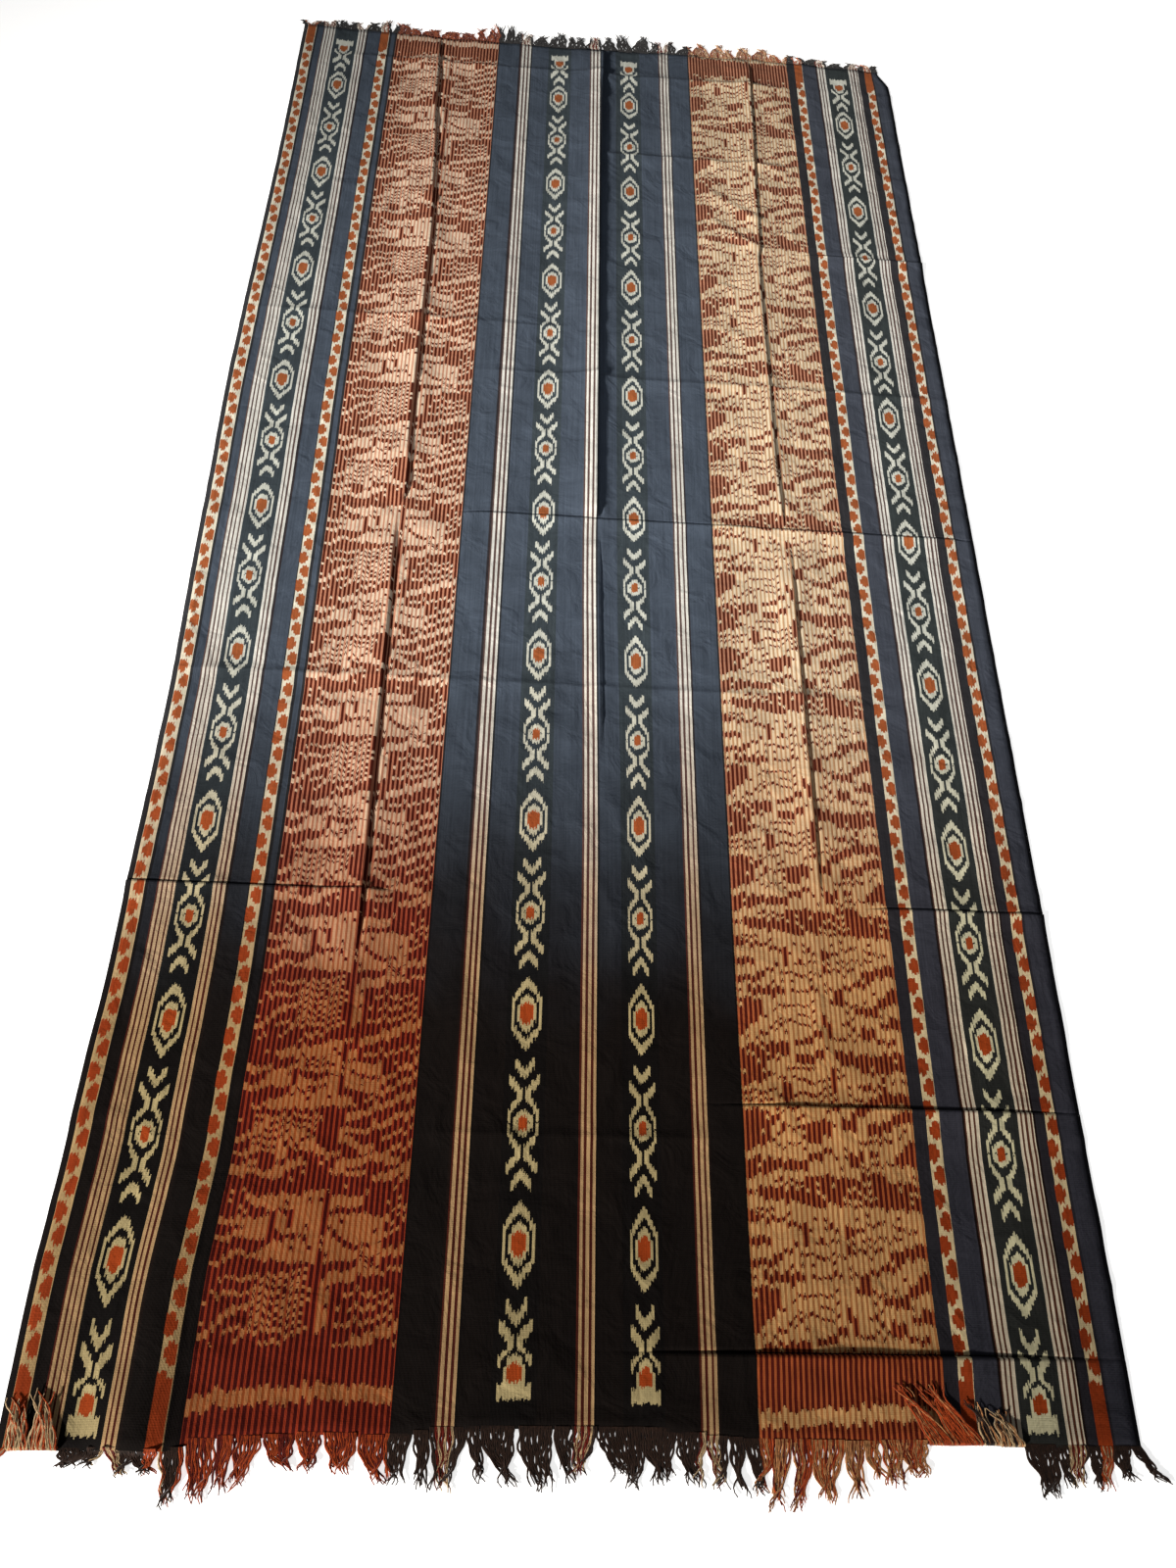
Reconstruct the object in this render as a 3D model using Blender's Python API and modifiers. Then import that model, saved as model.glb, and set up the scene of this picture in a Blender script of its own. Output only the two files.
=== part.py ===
"""Ikat woven cloth, laid out flat: one woven sheet that still shows the creases it was stored in,
and a fringe of knotted-off warp ends at each end. Metres, +Z up, with the warp along Y.
The origin is on the surface under the middle of the cloth, and the near end is at -Y."""
import math
import random
from collections import namedtuple

import bmesh
import bpy
import numpy as np

# The woven sheet: u runs across it from the left selvedge, v along it from the near end
CLOTH_WIDTH = 1.15
CLOTH_LENGTH = 2.39
CLOTH_THICKNESS = 0.0015
WIDEST_COLUMN = 0.055
WIDEST_ROW = 0.080
CLOSEST_LINES = 0.006
CREST_SHIFT_WIDTH = 0.10

# The fringes: warp ends twisted into locks, their roots held in a narrow strip of knots
PIECE_GAP = 0.0003
STRIP_DEPTH = 0.004
STRIP_HEIGHT = 0.0020
LOCKS_PER_FRINGE = 60
LOCK_ROOT_WIDTH = 0.0115
LOCK_TIP_WIDTH = 0.0050
LOCK_TIP_HEIGHT = 0.0012
LOCK_STEPS = 4
LONGEST_REACH = 0.062
CORNER_LOCK_X = 0.600
LOCK_WAVE = 0.0016
LOCK_WAVE_TURN = 3.6
LEAN_CURVE = 1.4
KEPT_AT_FULL_REACH = 0.96
REACH_VARIATION = 0.18
FACES_OUTWARD = 0.7
FOLD_RADIUS = 0.0022
FOLD_TURNS = (60, 120, 180)
FOLD_TAPER = 0.88
FOLDED_HEIGHT = 0.0016
FOLDED_TIP_HEIGHT = 0.0011
LAID_BACK_SHARES = (0.45, 1.0)
LAID_BACK_TAPER = 0.80

# A crease is a raised line from one point of the sheet to another. Left and right are how far the
# cloth takes to come down to the surface on each side, looking from start to end.
Crease = namedtuple("Crease", "start_u start_v end_u end_v height left right fade")
LENGTHWISE = {
    "middle_far": Crease(0.574, 1.195, 0.571, 2.385, 0.0070, 0.060, 0.014, 0.030),
    "middle_near": Crease(0.576, 0.780, 0.574, 1.195, 0.0020, 0.025, 0.018, 0.100),
    "left_quarter_far": Crease(0.288, 1.200, 0.266, 2.385, 0.0055, 0.050, 0.014, 0.040),
    "left_quarter_near": Crease(0.290, 0.520, 0.288, 1.200, 0.0040, 0.040, 0.012, 0.080),
    "right_quarter_far": Crease(0.856, 1.200, 0.868, 2.385, 0.0045, 0.035, 0.012, 0.040),
    "right_quarter_near": Crease(0.862, 0.600, 0.856, 1.200, 0.0030, 0.030, 0.012, 0.080),
}
CROSSWISE = {
    "middle": Crease(0.360, 1.195, 1.150, 1.195, 0.0035, 0.014, 0.035, 0.040),
    "quarter_left": Crease(-0.03, 0.588, 0.330, 0.588, 0.0030, 0.012, 0.030, 0.030),
    "quarter_right": Crease(0.920, 0.588, 1.180, 0.588, 0.0030, 0.012, 0.030, 0.030),
    "near_end": Crease(0.560, 0.080, 1.180, 0.080, 0.0065, 0.070, 0.024, 0.250),
    "near_eighth": Crease(0.680, 0.338, 1.180, 0.338, 0.0050, 0.055, 0.022, 0.150),
    "far_quarter": Crease(0.920, 1.822, 1.180, 1.822, 0.0050, 0.045, 0.018, 0.040),
    "far_eighth": Crease(0.560, 2.064, 0.960, 2.064, 0.0030, 0.040, 0.016, 0.060),
    "far_end": Crease(0.080, 2.304, 0.960, 2.304, 0.0025, 0.030, 0.016, 0.060),
}
SLANTING = {
    "upper_wrinkle": Crease(0.765, 1.985, 0.864, 1.902, 0.0045, 0.012, 0.020, 0.020),
    "lower_wrinkle": Crease(0.772, 1.902, 0.860, 1.826, 0.0045, 0.012, 0.020, 0.020),
}
# A soft hump, where the near left corner isn't pulled flat
HUMP_U = 0.135
HUMP_REACH_V = 0.34
HUMP_HEIGHT = 0.0090
HUMP_HALF_WIDTH = 0.060

# How far the sheet is pushed sideways, along its length, at the left selvedge and inside it
LeftSway = namedtuple("LeftSway", "v edge inner")
LEFT_SWAY = (
    LeftSway(0.00, -0.004, -0.010),
    LeftSway(0.12, -0.005, -0.010),
    LeftSway(0.30, 0.001, 0.000),
    LeftSway(0.50, 0.006, 0.004),
    LeftSway(0.85, 0.008, 0.003),
    LeftSway(1.15, 0.002, 0.000),
    LeftSway(1.45, -0.004, -0.003),
    LeftSway(2.00, 0.000, -0.004),
    LeftSway(2.39, -0.002, -0.004),
)
LEFT_SWAY_WIDTH = 0.38
LEFT_INNER_U = 0.15
# The far right corner is tucked under on a slant
CORNER_TUCK = 0.020
CORNER_TUCK_FROM_U = 1.118
CORNER_TUCK_FROM_V = 2.335

# How far each end of the weave bows past its straight line
EndBow = namedtuple("EndBow", "u near far")
END_BOW = (
    EndBow(0.00, 0.012, 0.004),
    EndBow(0.16, 0.010, 0.002),
    EndBow(0.22, 0.000, 0.000),
    EndBow(0.55, 0.001, -0.002),
    EndBow(0.76, 0.000, 0.010),
    EndBow(0.95, 0.000, 0.012),
    EndBow(1.15, 0.002, 0.004),
)
END_BOW_V = 0.16

# How far the locks reach past each end of the weave, and lean sideways, from left to right
Reach = namedtuple("Reach", "u reach lean")
NEAR_REACH = (
    Reach(0.00, 0.034, -0.010),
    Reach(0.03, 0.036, -0.004),
    Reach(0.14, 0.034, 0.002),
    Reach(0.18, 0.062, 0.000),
    Reach(0.24, 0.046, 0.002),
    Reach(0.29, 0.028, 0.004),
    Reach(0.36, 0.040, 0.004),
    Reach(0.46, 0.044, 0.005),
    Reach(0.56, 0.034, 0.003),
    Reach(0.64, 0.044, 0.002),
    Reach(0.70, 0.058, -0.002),
    Reach(0.78, 0.060, 0.000),
    Reach(0.86, 0.054, 0.002),
    Reach(0.96, 0.034, 0.004),
    Reach(1.06, 0.050, 0.005),
    Reach(1.12, 0.044, 0.008),
    Reach(1.15, 0.044, 0.012),
)
FAR_REACH = (
    Reach(0.00, 0.026, -0.008),
    Reach(0.10, 0.030, -0.002),
    Reach(0.16, 0.048, 0.003),
    Reach(0.22, 0.022, 0.002),
    Reach(0.30, 0.026, 0.002),
    Reach(0.385, 0.062, 0.002),
    Reach(0.43, 0.044, 0.003),
    Reach(0.53, 0.056, 0.002),
    Reach(0.60, 0.048, 0.002),
    Reach(0.63, 0.062, 0.000),
    Reach(0.74, 0.054, 0.002),
    Reach(0.86, 0.056, 0.000),
    Reach(0.95, 0.050, 0.001),
    Reach(1.02, 0.030, 0.002),
    Reach(1.15, 0.030, 0.002),
)
# Stretches of the near fringe that lie folded back on the cloth
FoldedBack = namedtuple("FoldedBack", "from_u to_u length lean")
FOLDED_BACK = (
    FoldedBack(0.010, 0.062, 0.052, -0.004),
    FoldedBack(0.880, 1.030, 0.056, -0.004),
)

# Finish of each piece: colour, roughness
CLOTH_COLOUR = (0.060, 0.045, 0.042, 1.0)
FRINGE_COLOUR = (0.190, 0.070, 0.040, 1.0)
COTTON_ROUGHNESS = 0.85


def remove_all_objects():
    """Start from an empty scene."""
    for old in list(bpy.data.objects):
        bpy.data.objects.remove(old, do_unlink=True)


def smooth(t):
    """0 to 1 with level ends."""
    t = min(max(t, 0.0), 1.0)
    return t * t * (3.0 - 2.0 * t)


def between(rows, key, value, at):
    """A column of a table at a place between its rows, eased from row to row."""
    for low, high in zip(rows, rows[1:]):
        if at <= getattr(high, key):
            break
    share = (at - getattr(low, key)) / (getattr(high, key) - getattr(low, key))
    start = getattr(low, value)
    return start + (getattr(high, value) - start) * smooth(share)


def crease_height(crease, u, v):
    """How high one crease lifts the sheet at a point: a sharp crest with hollow flanks."""
    along_u = crease.end_u - crease.start_u
    along_v = crease.end_v - crease.start_v
    length = math.hypot(along_u, along_v)
    from_u = u - crease.start_u
    from_v = v - crease.start_v
    along = (from_u * along_u + from_v * along_v) / length
    aside = (from_v * along_u - from_u * along_v) / length
    flank = crease.left if aside > 0.0 else crease.right
    drop = 1.0 - min(abs(aside) / flank, 1.0)
    ends = smooth(min(along, length - along) / crease.fade)
    return crease.height * drop ** 1.5 * ends


def relief(u, v):
    """Height of the sheet's underside above the surface: nothing but for creases and the hump."""
    creases = list(LENGTHWISE.values()) + list(CROSSWISE.values()) + list(SLANTING.values())
    height = sum(crease_height(crease, u, v) for crease in creases)
    across = smooth(1.0 - abs(u - HUMP_U) / HUMP_HALF_WIDTH)
    return height + HUMP_HEIGHT * across * smooth(1.0 - v / HUMP_REACH_V)


def sway(u, v):
    """Sideways push of the sheet at a point, from the left selvedge and the tucked corner."""
    edge = between(LEFT_SWAY, "v", "edge", v)
    inner = between(LEFT_SWAY, "v", "inner", v)
    if u < LEFT_INNER_U:
        left = edge + (inner - edge) * u / LEFT_INNER_U
    else:
        left = inner * smooth(1.0 - (u - LEFT_INNER_U) / (LEFT_SWAY_WIDTH - LEFT_INNER_U))
    tucked_u = smooth((u - CORNER_TUCK_FROM_U) / (CLOTH_WIDTH - CORNER_TUCK_FROM_U))
    tucked_v = smooth((v - CORNER_TUCK_FROM_V) / (CLOTH_LENGTH - CORNER_TUCK_FROM_V))
    return left - CORNER_TUCK * tucked_u * tucked_v


def bow(u, v):
    """Push of the sheet along its length near its two ends."""
    near = between(END_BOW, "u", "near", u) * smooth(1.0 - v / END_BOW_V)
    far = between(END_BOW, "u", "far", u) * smooth((v - CLOTH_LENGTH + END_BOW_V) / END_BOW_V)
    return far - near


def place(u, v):
    """Where a point of the sheet lies: x, y, and the height of its underside."""
    x = u - CLOTH_WIDTH / 2 + sway(u, v)
    y = v - CLOTH_LENGTH / 2 + bow(u, v)
    return x, y, relief(u, v)


def crest_shift(u, v):
    """Slides the mesh's columns sideways so that they follow the slanting quarter creases."""
    shift = 0.0
    for far, near in (("left_quarter_far", "left_quarter_near"),
                      ("right_quarter_far", "right_quarter_near")):
        far, near = LENGTHWISE[far], LENGTHWISE[near]
        line = far if v > far.start_v else near
        share = min(max((v - line.start_v) / (line.end_v - line.start_v), 0.0), 1.0)
        crest = line.start_u + (line.end_u - line.start_u) * share
        shift += (crest - far.start_u) * smooth(1.0 - abs(u - far.start_u) / CREST_SHIFT_WIDTH)
    return shift


def mesh_lines(feet, end, widest):
    """Grid lines from 0 to end: on each crest and its feet, and evenly between those."""
    fixed = [0.0]
    for line in sorted(feet):
        if line - fixed[-1] > CLOSEST_LINES and end - line > CLOSEST_LINES:
            fixed.append(line)
    fixed.append(end)
    lines = [0.0]
    for low, high in zip(fixed, fixed[1:]):
        steps = math.ceil((high - low) / widest)
        lines += [low + (high - low) * step / steps for step in range(1, steps + 1)]
    return lines


def column_lines():
    """Columns of the sheet's mesh, on the lengthwise creases and the hump."""
    feet = [HUMP_U - HUMP_HALF_WIDTH / 2, HUMP_U, HUMP_U + HUMP_HALF_WIDTH / 2]
    for name in ("middle_far", "left_quarter_far", "right_quarter_far"):
        crease = LENGTHWISE[name]
        feet += [crease.start_u - crease.left, crease.start_u - crease.left / 3]
        feet += [crease.start_u, crease.start_u + crease.right]
    feet.append(CORNER_TUCK_FROM_U)
    return mesh_lines(feet, CLOTH_WIDTH, WIDEST_COLUMN)


def row_lines():
    """Rows of the sheet's mesh, on the crosswise creases and where the corner tuck starts."""
    feet = [CORNER_TUCK_FROM_V]
    for crease in CROSSWISE.values():
        feet += [crease.start_v - crease.right, crease.start_v, crease.start_v + crease.left]
    return mesh_lines(feet, CLOTH_LENGTH, WIDEST_ROW)


def make_material(name, colour):
    """Matt cotton in one colour."""
    material = bpy.data.materials.new(name)
    material.use_nodes = True
    shader = material.node_tree.nodes["Principled BSDF"]
    shader.inputs["Base Color"].default_value = colour
    shader.inputs["Roughness"].default_value = COTTON_ROUGHNESS
    shader.inputs["Metallic"].default_value = 0.0
    return material


def make_object(name, bm, material, collection):
    """An object of its own from a finished bmesh."""
    mesh = bpy.data.meshes.new(name)
    bm.to_mesh(mesh)
    bm.free()
    mesh.materials.append(material)
    piece = bpy.data.objects.new(name, mesh)
    collection.objects.link(piece)
    return piece


def make_cloth(collection, material):
    """The woven sheet: a grid laid on its creases, thickened upwards from its underside."""
    columns = column_lines()
    rows = row_lines()
    bm = bmesh.new()
    bmesh.ops.create_grid(bm, x_segments=len(columns) - 1, y_segments=len(rows) - 1, size=0.5)
    for vert in bm.verts:
        column = columns[round((vert.co.x + 0.5) * (len(columns) - 1))]
        v = rows[round((vert.co.y + 0.5) * (len(rows) - 1))]
        u = column + crest_shift(column, v)
        vert.co = place(u, v)
    cloth = make_object("cloth", bm, material, collection)
    cloth.data.shade_smooth()
    shell = cloth.modifiers.new("weave thickness", "SOLIDIFY")
    shell.thickness = CLOTH_THICKNESS
    shell.offset = 1.0
    return cloth


def strip_bmesh(v_end, outward):
    """The strip of knots along one end: a row of blocks, a wide one for each lock and a narrow
    one before, between and after the locks. The locks grow from its outer side. It follows the
    sheet's end, and lies clear of its corners."""
    end = [place(column + crest_shift(column, v_end), v_end) for column in column_lines()]
    end_x = [point[0] for point in end]
    end_y = [point[1] * outward for point in end]
    first, last = end_x[0], end_x[-1]
    pitch = (last - first) / LOCKS_PER_FRINGE
    stops = [first]
    for lock in range(LOCKS_PER_FRINGE):
        middle = first + pitch * (lock + 0.5)
        stops += [middle - LOCK_ROOT_WIDTH / 2, middle + LOCK_ROOT_WIDTH / 2]
    stops.append(last)
    bm = bmesh.new()
    bmesh.ops.create_grid(bm, x_segments=len(stops) - 1, y_segments=1, size=0.5)
    for vert in bm.verts:
        x = stops[round((vert.co.x + 0.5) * (len(stops) - 1))]
        nearby = (x - LOCK_ROOT_WIDTH, x, x + LOCK_ROOT_WIDTH)
        depth = PIECE_GAP + (STRIP_DEPTH if vert.co.y * outward > 0.0 else 0.0)
        vert.co = (x, outward * (max(np.interp(nearby, end_x, end_y)) + depth), 0.0)
    top = bmesh.ops.extrude_face_region(bm, geom=bm.faces[:])
    for item in top["geom"]:
        if isinstance(item, bmesh.types.BMVert):
            item.co.z = STRIP_HEIGHT
    bmesh.ops.recalc_face_normals(bm, faces=bm.faces[:])
    return bm


def root_faces(bm, outward):
    """The strip's outer faces that carry a lock, from left to right: every second one."""
    outer = [face for face in bm.faces if face.normal.y * outward > FACES_OUTWARD]
    outer.sort(key=lambda face: face.calc_center_median().x)
    return outer[1::2]


def pull_lock(bm, face, rings):
    """Draws a lock out of the strip: the face is extruded from ring to ring. A ring is the middle
    of its underside, half its width, its height, and the way its upper side faces."""
    corners = {}
    middle = face.calc_center_median()
    for vert in face.verts:
        corners[tuple(vert.co)] = (1 if vert.co.x > middle.x else -1, 1 if vert.co.z > middle.z else 0)
    for (x, y, z), half_width, height, (up_y, up_z) in rings:
        face = bmesh.ops.extrude_discrete_faces(bm, faces=[face])["faces"][0]
        moved = {}
        for vert in face.verts:
            side, upper = corners[tuple(vert.co)]
            lift = height * upper
            vert.co = (x + side * half_width, y + up_y * lift, z + up_z * lift)
            moved[tuple(vert.co)] = (side, upper)
        corners = moved


def lying_rings(root, tip_y, lean, phase):
    """Rings of a lock that lies on the surface, with a slight wave in it."""
    x, y = root
    rings = []
    for step in range(1, LOCK_STEPS + 1):
        share = step / LOCK_STEPS
        wave = LOCK_WAVE * math.sin(phase + LOCK_WAVE_TURN * share) * math.sin(math.pi * share)
        half_width = (LOCK_ROOT_WIDTH + (LOCK_TIP_WIDTH - LOCK_ROOT_WIDTH) * share) / 2
        height = STRIP_HEIGHT + (LOCK_TIP_HEIGHT - STRIP_HEIGHT) * share
        spot = (x + lean * share ** LEAN_CURVE + wave, y + (tip_y - y) * share, 0.0)
        rings.append((spot, half_width, height, (0.0, 1.0)))
    return rings


def folded_rings(root, length, lean):
    """Rings of a near lock that turns up and over and lies back on the cloth."""
    x, y = root
    rings = []
    half_width = LOCK_ROOT_WIDTH / 2
    for turn in FOLD_TURNS:
        angle = math.radians(turn)
        spot_y = y - FOLD_RADIUS * math.sin(angle)
        spot_z = FOLD_RADIUS * (1.0 - math.cos(angle))
        half_width *= FOLD_TAPER
        upper_side = (math.sin(angle), math.cos(angle))
        rings.append(((x, spot_y, spot_z), half_width, FOLDED_HEIGHT, upper_side))
    for share in LAID_BACK_SHARES:
        half_width *= LAID_BACK_TAPER
        height = FOLDED_HEIGHT + (FOLDED_TIP_HEIGHT - FOLDED_HEIGHT) * share
        spot = (x + lean * share, y + length * share, 2 * FOLD_RADIUS)
        rings.append((spot, half_width, height, (0.0, -1.0)))
    return rings


def make_fringe(name, v_end, outward, reaches, folded_back, corner_x, collection, material):
    """One fringe: its strip of knots and its locks, in one closed body. With a corner_x, the
    first and last lock splay out that far from the middle."""
    chance = random.Random(name)
    bm = strip_bmesh(v_end, outward)
    longest = max(row.reach for row in reaches)
    faces = root_faces(bm, outward)
    for index, face in enumerate(faces):
        root = face.calc_center_median()
        u = min(max(root.x + CLOTH_WIDTH / 2, 0.0), CLOTH_WIDTH)
        reach = between(reaches, "u", "reach", u)
        variation = 1.0 - REACH_VARIATION * chance.random()
        phase = chance.uniform(0.0, math.tau)
        folded = [row for row in folded_back if row.from_u < u < row.to_u]
        if folded:
            length = folded[0].length * variation
            rings = folded_rings((root.x, root.y), length, folded[0].lean)
        else:
            if reach < KEPT_AT_FULL_REACH * longest:
                reach *= variation
            tip_y = outward * (CLOTH_LENGTH / 2 + min(reach, LONGEST_REACH))
            lean = between(reaches, "u", "lean", u)
            if corner_x is not None and index in (0, len(faces) - 1):
                lean = math.copysign(corner_x - LOCK_TIP_WIDTH / 2, root.x) - root.x
            rings = lying_rings((root.x, root.y), tip_y, lean, phase)
        pull_lock(bm, face, rings)
    return make_object(name, bm, material, collection)


remove_all_objects()
ikat_cloth = bpy.data.collections.new("ikat_woven_cloth")
bpy.context.scene.collection.children.link(ikat_cloth)
make_cloth(ikat_cloth, make_material("ikat_cotton", CLOTH_COLOUR))
fringe_material = make_material("warp_ends", FRINGE_COLOUR)
make_fringe("fringe_near", 0.0, -1, NEAR_REACH, FOLDED_BACK, CORNER_LOCK_X, ikat_cloth, fringe_material)
make_fringe("fringe_far", CLOTH_LENGTH, 1, FAR_REACH, (), None, ikat_cloth, fringe_material)
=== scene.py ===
import math
import random
from collections import namedtuple

import bmesh
import bpy
import numpy as np
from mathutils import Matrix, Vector, noise


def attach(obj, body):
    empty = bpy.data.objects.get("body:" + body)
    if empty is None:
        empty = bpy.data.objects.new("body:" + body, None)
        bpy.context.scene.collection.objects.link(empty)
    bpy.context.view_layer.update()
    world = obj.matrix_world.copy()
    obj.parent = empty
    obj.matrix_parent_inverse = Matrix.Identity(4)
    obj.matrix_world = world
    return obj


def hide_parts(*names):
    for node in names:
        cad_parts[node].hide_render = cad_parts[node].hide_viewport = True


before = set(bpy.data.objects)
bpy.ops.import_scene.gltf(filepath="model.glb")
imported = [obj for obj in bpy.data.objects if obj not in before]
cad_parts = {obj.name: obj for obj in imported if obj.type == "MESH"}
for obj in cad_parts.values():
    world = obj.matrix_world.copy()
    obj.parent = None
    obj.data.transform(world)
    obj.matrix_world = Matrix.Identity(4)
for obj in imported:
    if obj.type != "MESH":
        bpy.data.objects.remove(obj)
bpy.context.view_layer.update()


# The studio: a plain pale floor that the cloth is laid on, seen from over the near end as in the
# photograph. A broad soft lamp hangs over the middle, a far wide-faced spot comes in low from the
# near left, where it brings out the creases, and the room is dim, so both ends fall darker.
CAMERA_PLACE = (-0.1034, -1.1527, 1.3348)
CAMERA_TURN = (27.848, -4.369, 0.567)
CAMERA_LENS = 26.5
CAMERA_SENSOR = 36.0
FLOOR_SIZE = 9.0
FLOOR_DROP = 0.0006
FLOOR_COLOUR = "fafaf9"
FLOOR_GLOW = 0.75
ROOM_COLOUR = "f1f3f8"
ROOM_STRENGTH = 0.08
LAMP_PLACE = (-0.05, 0.02, 1.10)
LAMP_SIZE = (1.2, 1.2)
LAMP_POWER = 3.8
LAMP_COLOUR = "fcfcff"
LOW_LIGHT_PLACE = (-9.6, -8.4, 5.6)
LOW_LIGHT_AIM = (0.05, 0.0, 0.0)
LOW_LIGHT_POWER = 20500.0
LOW_LIGHT_CONE = 14.4
LOW_LIGHT_RADIUS = 0.7
LOW_LIGHT_COLOUR = "fff9f2"


def linear(colour):
    """An sRGB hex colour as the linear numbers that a shader takes."""
    parts = [int(colour[start:start + 2], 16) / 255.0 for start in (0, 2, 4)]
    return [part / 12.92 if part <= 0.04045 else ((part + 0.055) / 1.055) ** 2.4
            for part in parts] + [1.0]


def fill(tree, node, inputs):
    """Links or fills a node's inputs, given by name or number, or in their own order."""
    named = inputs if isinstance(inputs, dict) else dict(enumerate(inputs))
    for socket, value in named.items():
        if isinstance(value, bpy.types.NodeSocket):
            tree.links.new(value, node.inputs[socket])
        else:
            node.inputs[socket].default_value = value


def finish_mesh(name, shape, materials):
    """An object at the origin from a finished bmesh, smooth shaded, with its materials."""
    mesh = bpy.data.meshes.new(name)
    shape.to_mesh(mesh)
    shape.free()
    mesh.shade_smooth()
    for material in materials:
        mesh.materials.append(material)
    piece = bpy.data.objects.new(name, mesh)
    bpy.context.scene.collection.objects.link(piece)
    return piece


# A matt white painted board: an even white with no gloss. Its glow stands for the light that a far
# larger white floor would send back
floor_paint = bpy.data.materials.new("matt white floor board")
floor_paint.use_nodes = True
fill(floor_paint.node_tree, floor_paint.node_tree.nodes["Principled BSDF"],
     {"Roughness": 0.95, "Specular IOR Level": 0.1, "Base Color": linear(FLOOR_COLOUR),
      "Emission Color": linear(FLOOR_COLOUR), "Emission Strength": FLOOR_GLOW})

floor_board = bmesh.new()
bmesh.ops.create_grid(floor_board, x_segments=4, y_segments=4, size=FLOOR_SIZE / 2)
bmesh.ops.translate(floor_board, verts=floor_board.verts, vec=(0.0, 0.0, -FLOOR_DROP))
floor = finish_mesh("studio_floor", floor_board, [floor_paint])

camera = bpy.data.objects.new("camera", bpy.data.cameras.new("camera"))
camera.location = CAMERA_PLACE
camera.rotation_euler = [math.radians(turn) for turn in CAMERA_TURN]
camera.data.lens = CAMERA_LENS
camera.data.sensor_width = CAMERA_SENSOR
bpy.context.scene.collection.objects.link(camera)
bpy.context.scene.camera = camera

room = bpy.data.worlds.new("pale room")
room.use_nodes = True
fill(room.node_tree, room.node_tree.nodes["Background"],
     {"Color": linear(ROOM_COLOUR), "Strength": ROOM_STRENGTH})
bpy.context.scene.world = room
bpy.context.scene.view_settings.view_transform = "Standard"


def hang_lamp(name, lamp, hangs_at, aim):
    """A lamp that hangs at one point and faces another."""
    stand = bpy.data.objects.new(name, lamp)
    stand.location = hangs_at
    stand.rotation_euler = (Vector(aim) - Vector(hangs_at)).to_track_quat("-Z", "Y").to_euler()
    bpy.context.scene.collection.objects.link(stand)


overhead = bpy.data.lights.new("overhead lamp", "AREA")
overhead.shape = "RECTANGLE"
overhead.size, overhead.size_y = LAMP_SIZE
overhead.energy = LAMP_POWER
overhead.color = linear(LAMP_COLOUR)[:3]
hang_lamp("overhead lamp", overhead, LAMP_PLACE, (LAMP_PLACE[0], LAMP_PLACE[1], 0.0))

low_light = bpy.data.lights.new("low window light", "SPOT")
low_light.energy = LOW_LIGHT_POWER
low_light.spot_size = math.radians(LOW_LIGHT_CONE)
low_light.spot_blend = 1.0
low_light.shadow_soft_size = LOW_LIGHT_RADIUS
low_light.color = linear(LOW_LIGHT_COLOUR)[:3]
hang_lamp("low window light", low_light, LOW_LIGHT_PLACE, LOW_LIGHT_AIM)


# The woven sheet: one loom width of warp-faced cotton, 1.15 m by 2.39 m, laid flat but still
# showing the creases it was folded on. It is a grid set on its creases, thickened upwards. u runs
# across it from the left selvedge and v along its warp from the near end, both in metres.
CLOTH_WIDTH = 1.15
CLOTH_LENGTH = 2.39
CLOTH_THICKNESS = 0.0015
# A crease runs from its start to its end and fades out at both. Left and right are the widths of its
# flanks, and groove is how far beside the crest its groove lies, to the left where it is positive
Crease = namedtuple("Crease", "start_u start_v end_u end_v height left right fade groove depth",
                    defaults=(0.0, 0.0))
LENGTHWISE = {
    "middle_far": Crease(0.574, 1.195, 0.574, 2.385, 0.0120, 0.085, 0.034, 0.020, -0.0056, 0.0120),
    "middle_near": Crease(0.574, 0.780, 0.574, 1.195, 0.0045, 0.025, 0.018, 0.100, -0.0031, 0.0045),
    "left_far": Crease(0.286, 1.200, 0.286, 2.385, 0.0074, 0.065, 0.032, 0.040, -0.0040, 0.0074),
    "left_near": Crease(0.286, 0.480, 0.286, 1.200, 0.0068, 0.060, 0.030, 0.120, -0.0040, 0.0068),
    "right_far": Crease(0.858, 1.200, 0.858, 2.385, 0.0058, 0.055, 0.026, 0.040, -0.0034, 0.0058),
    "right_near": Crease(0.858, 0.560, 0.858, 1.200, 0.0054, 0.050, 0.026, 0.160, -0.0034, 0.0054),
}
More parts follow.
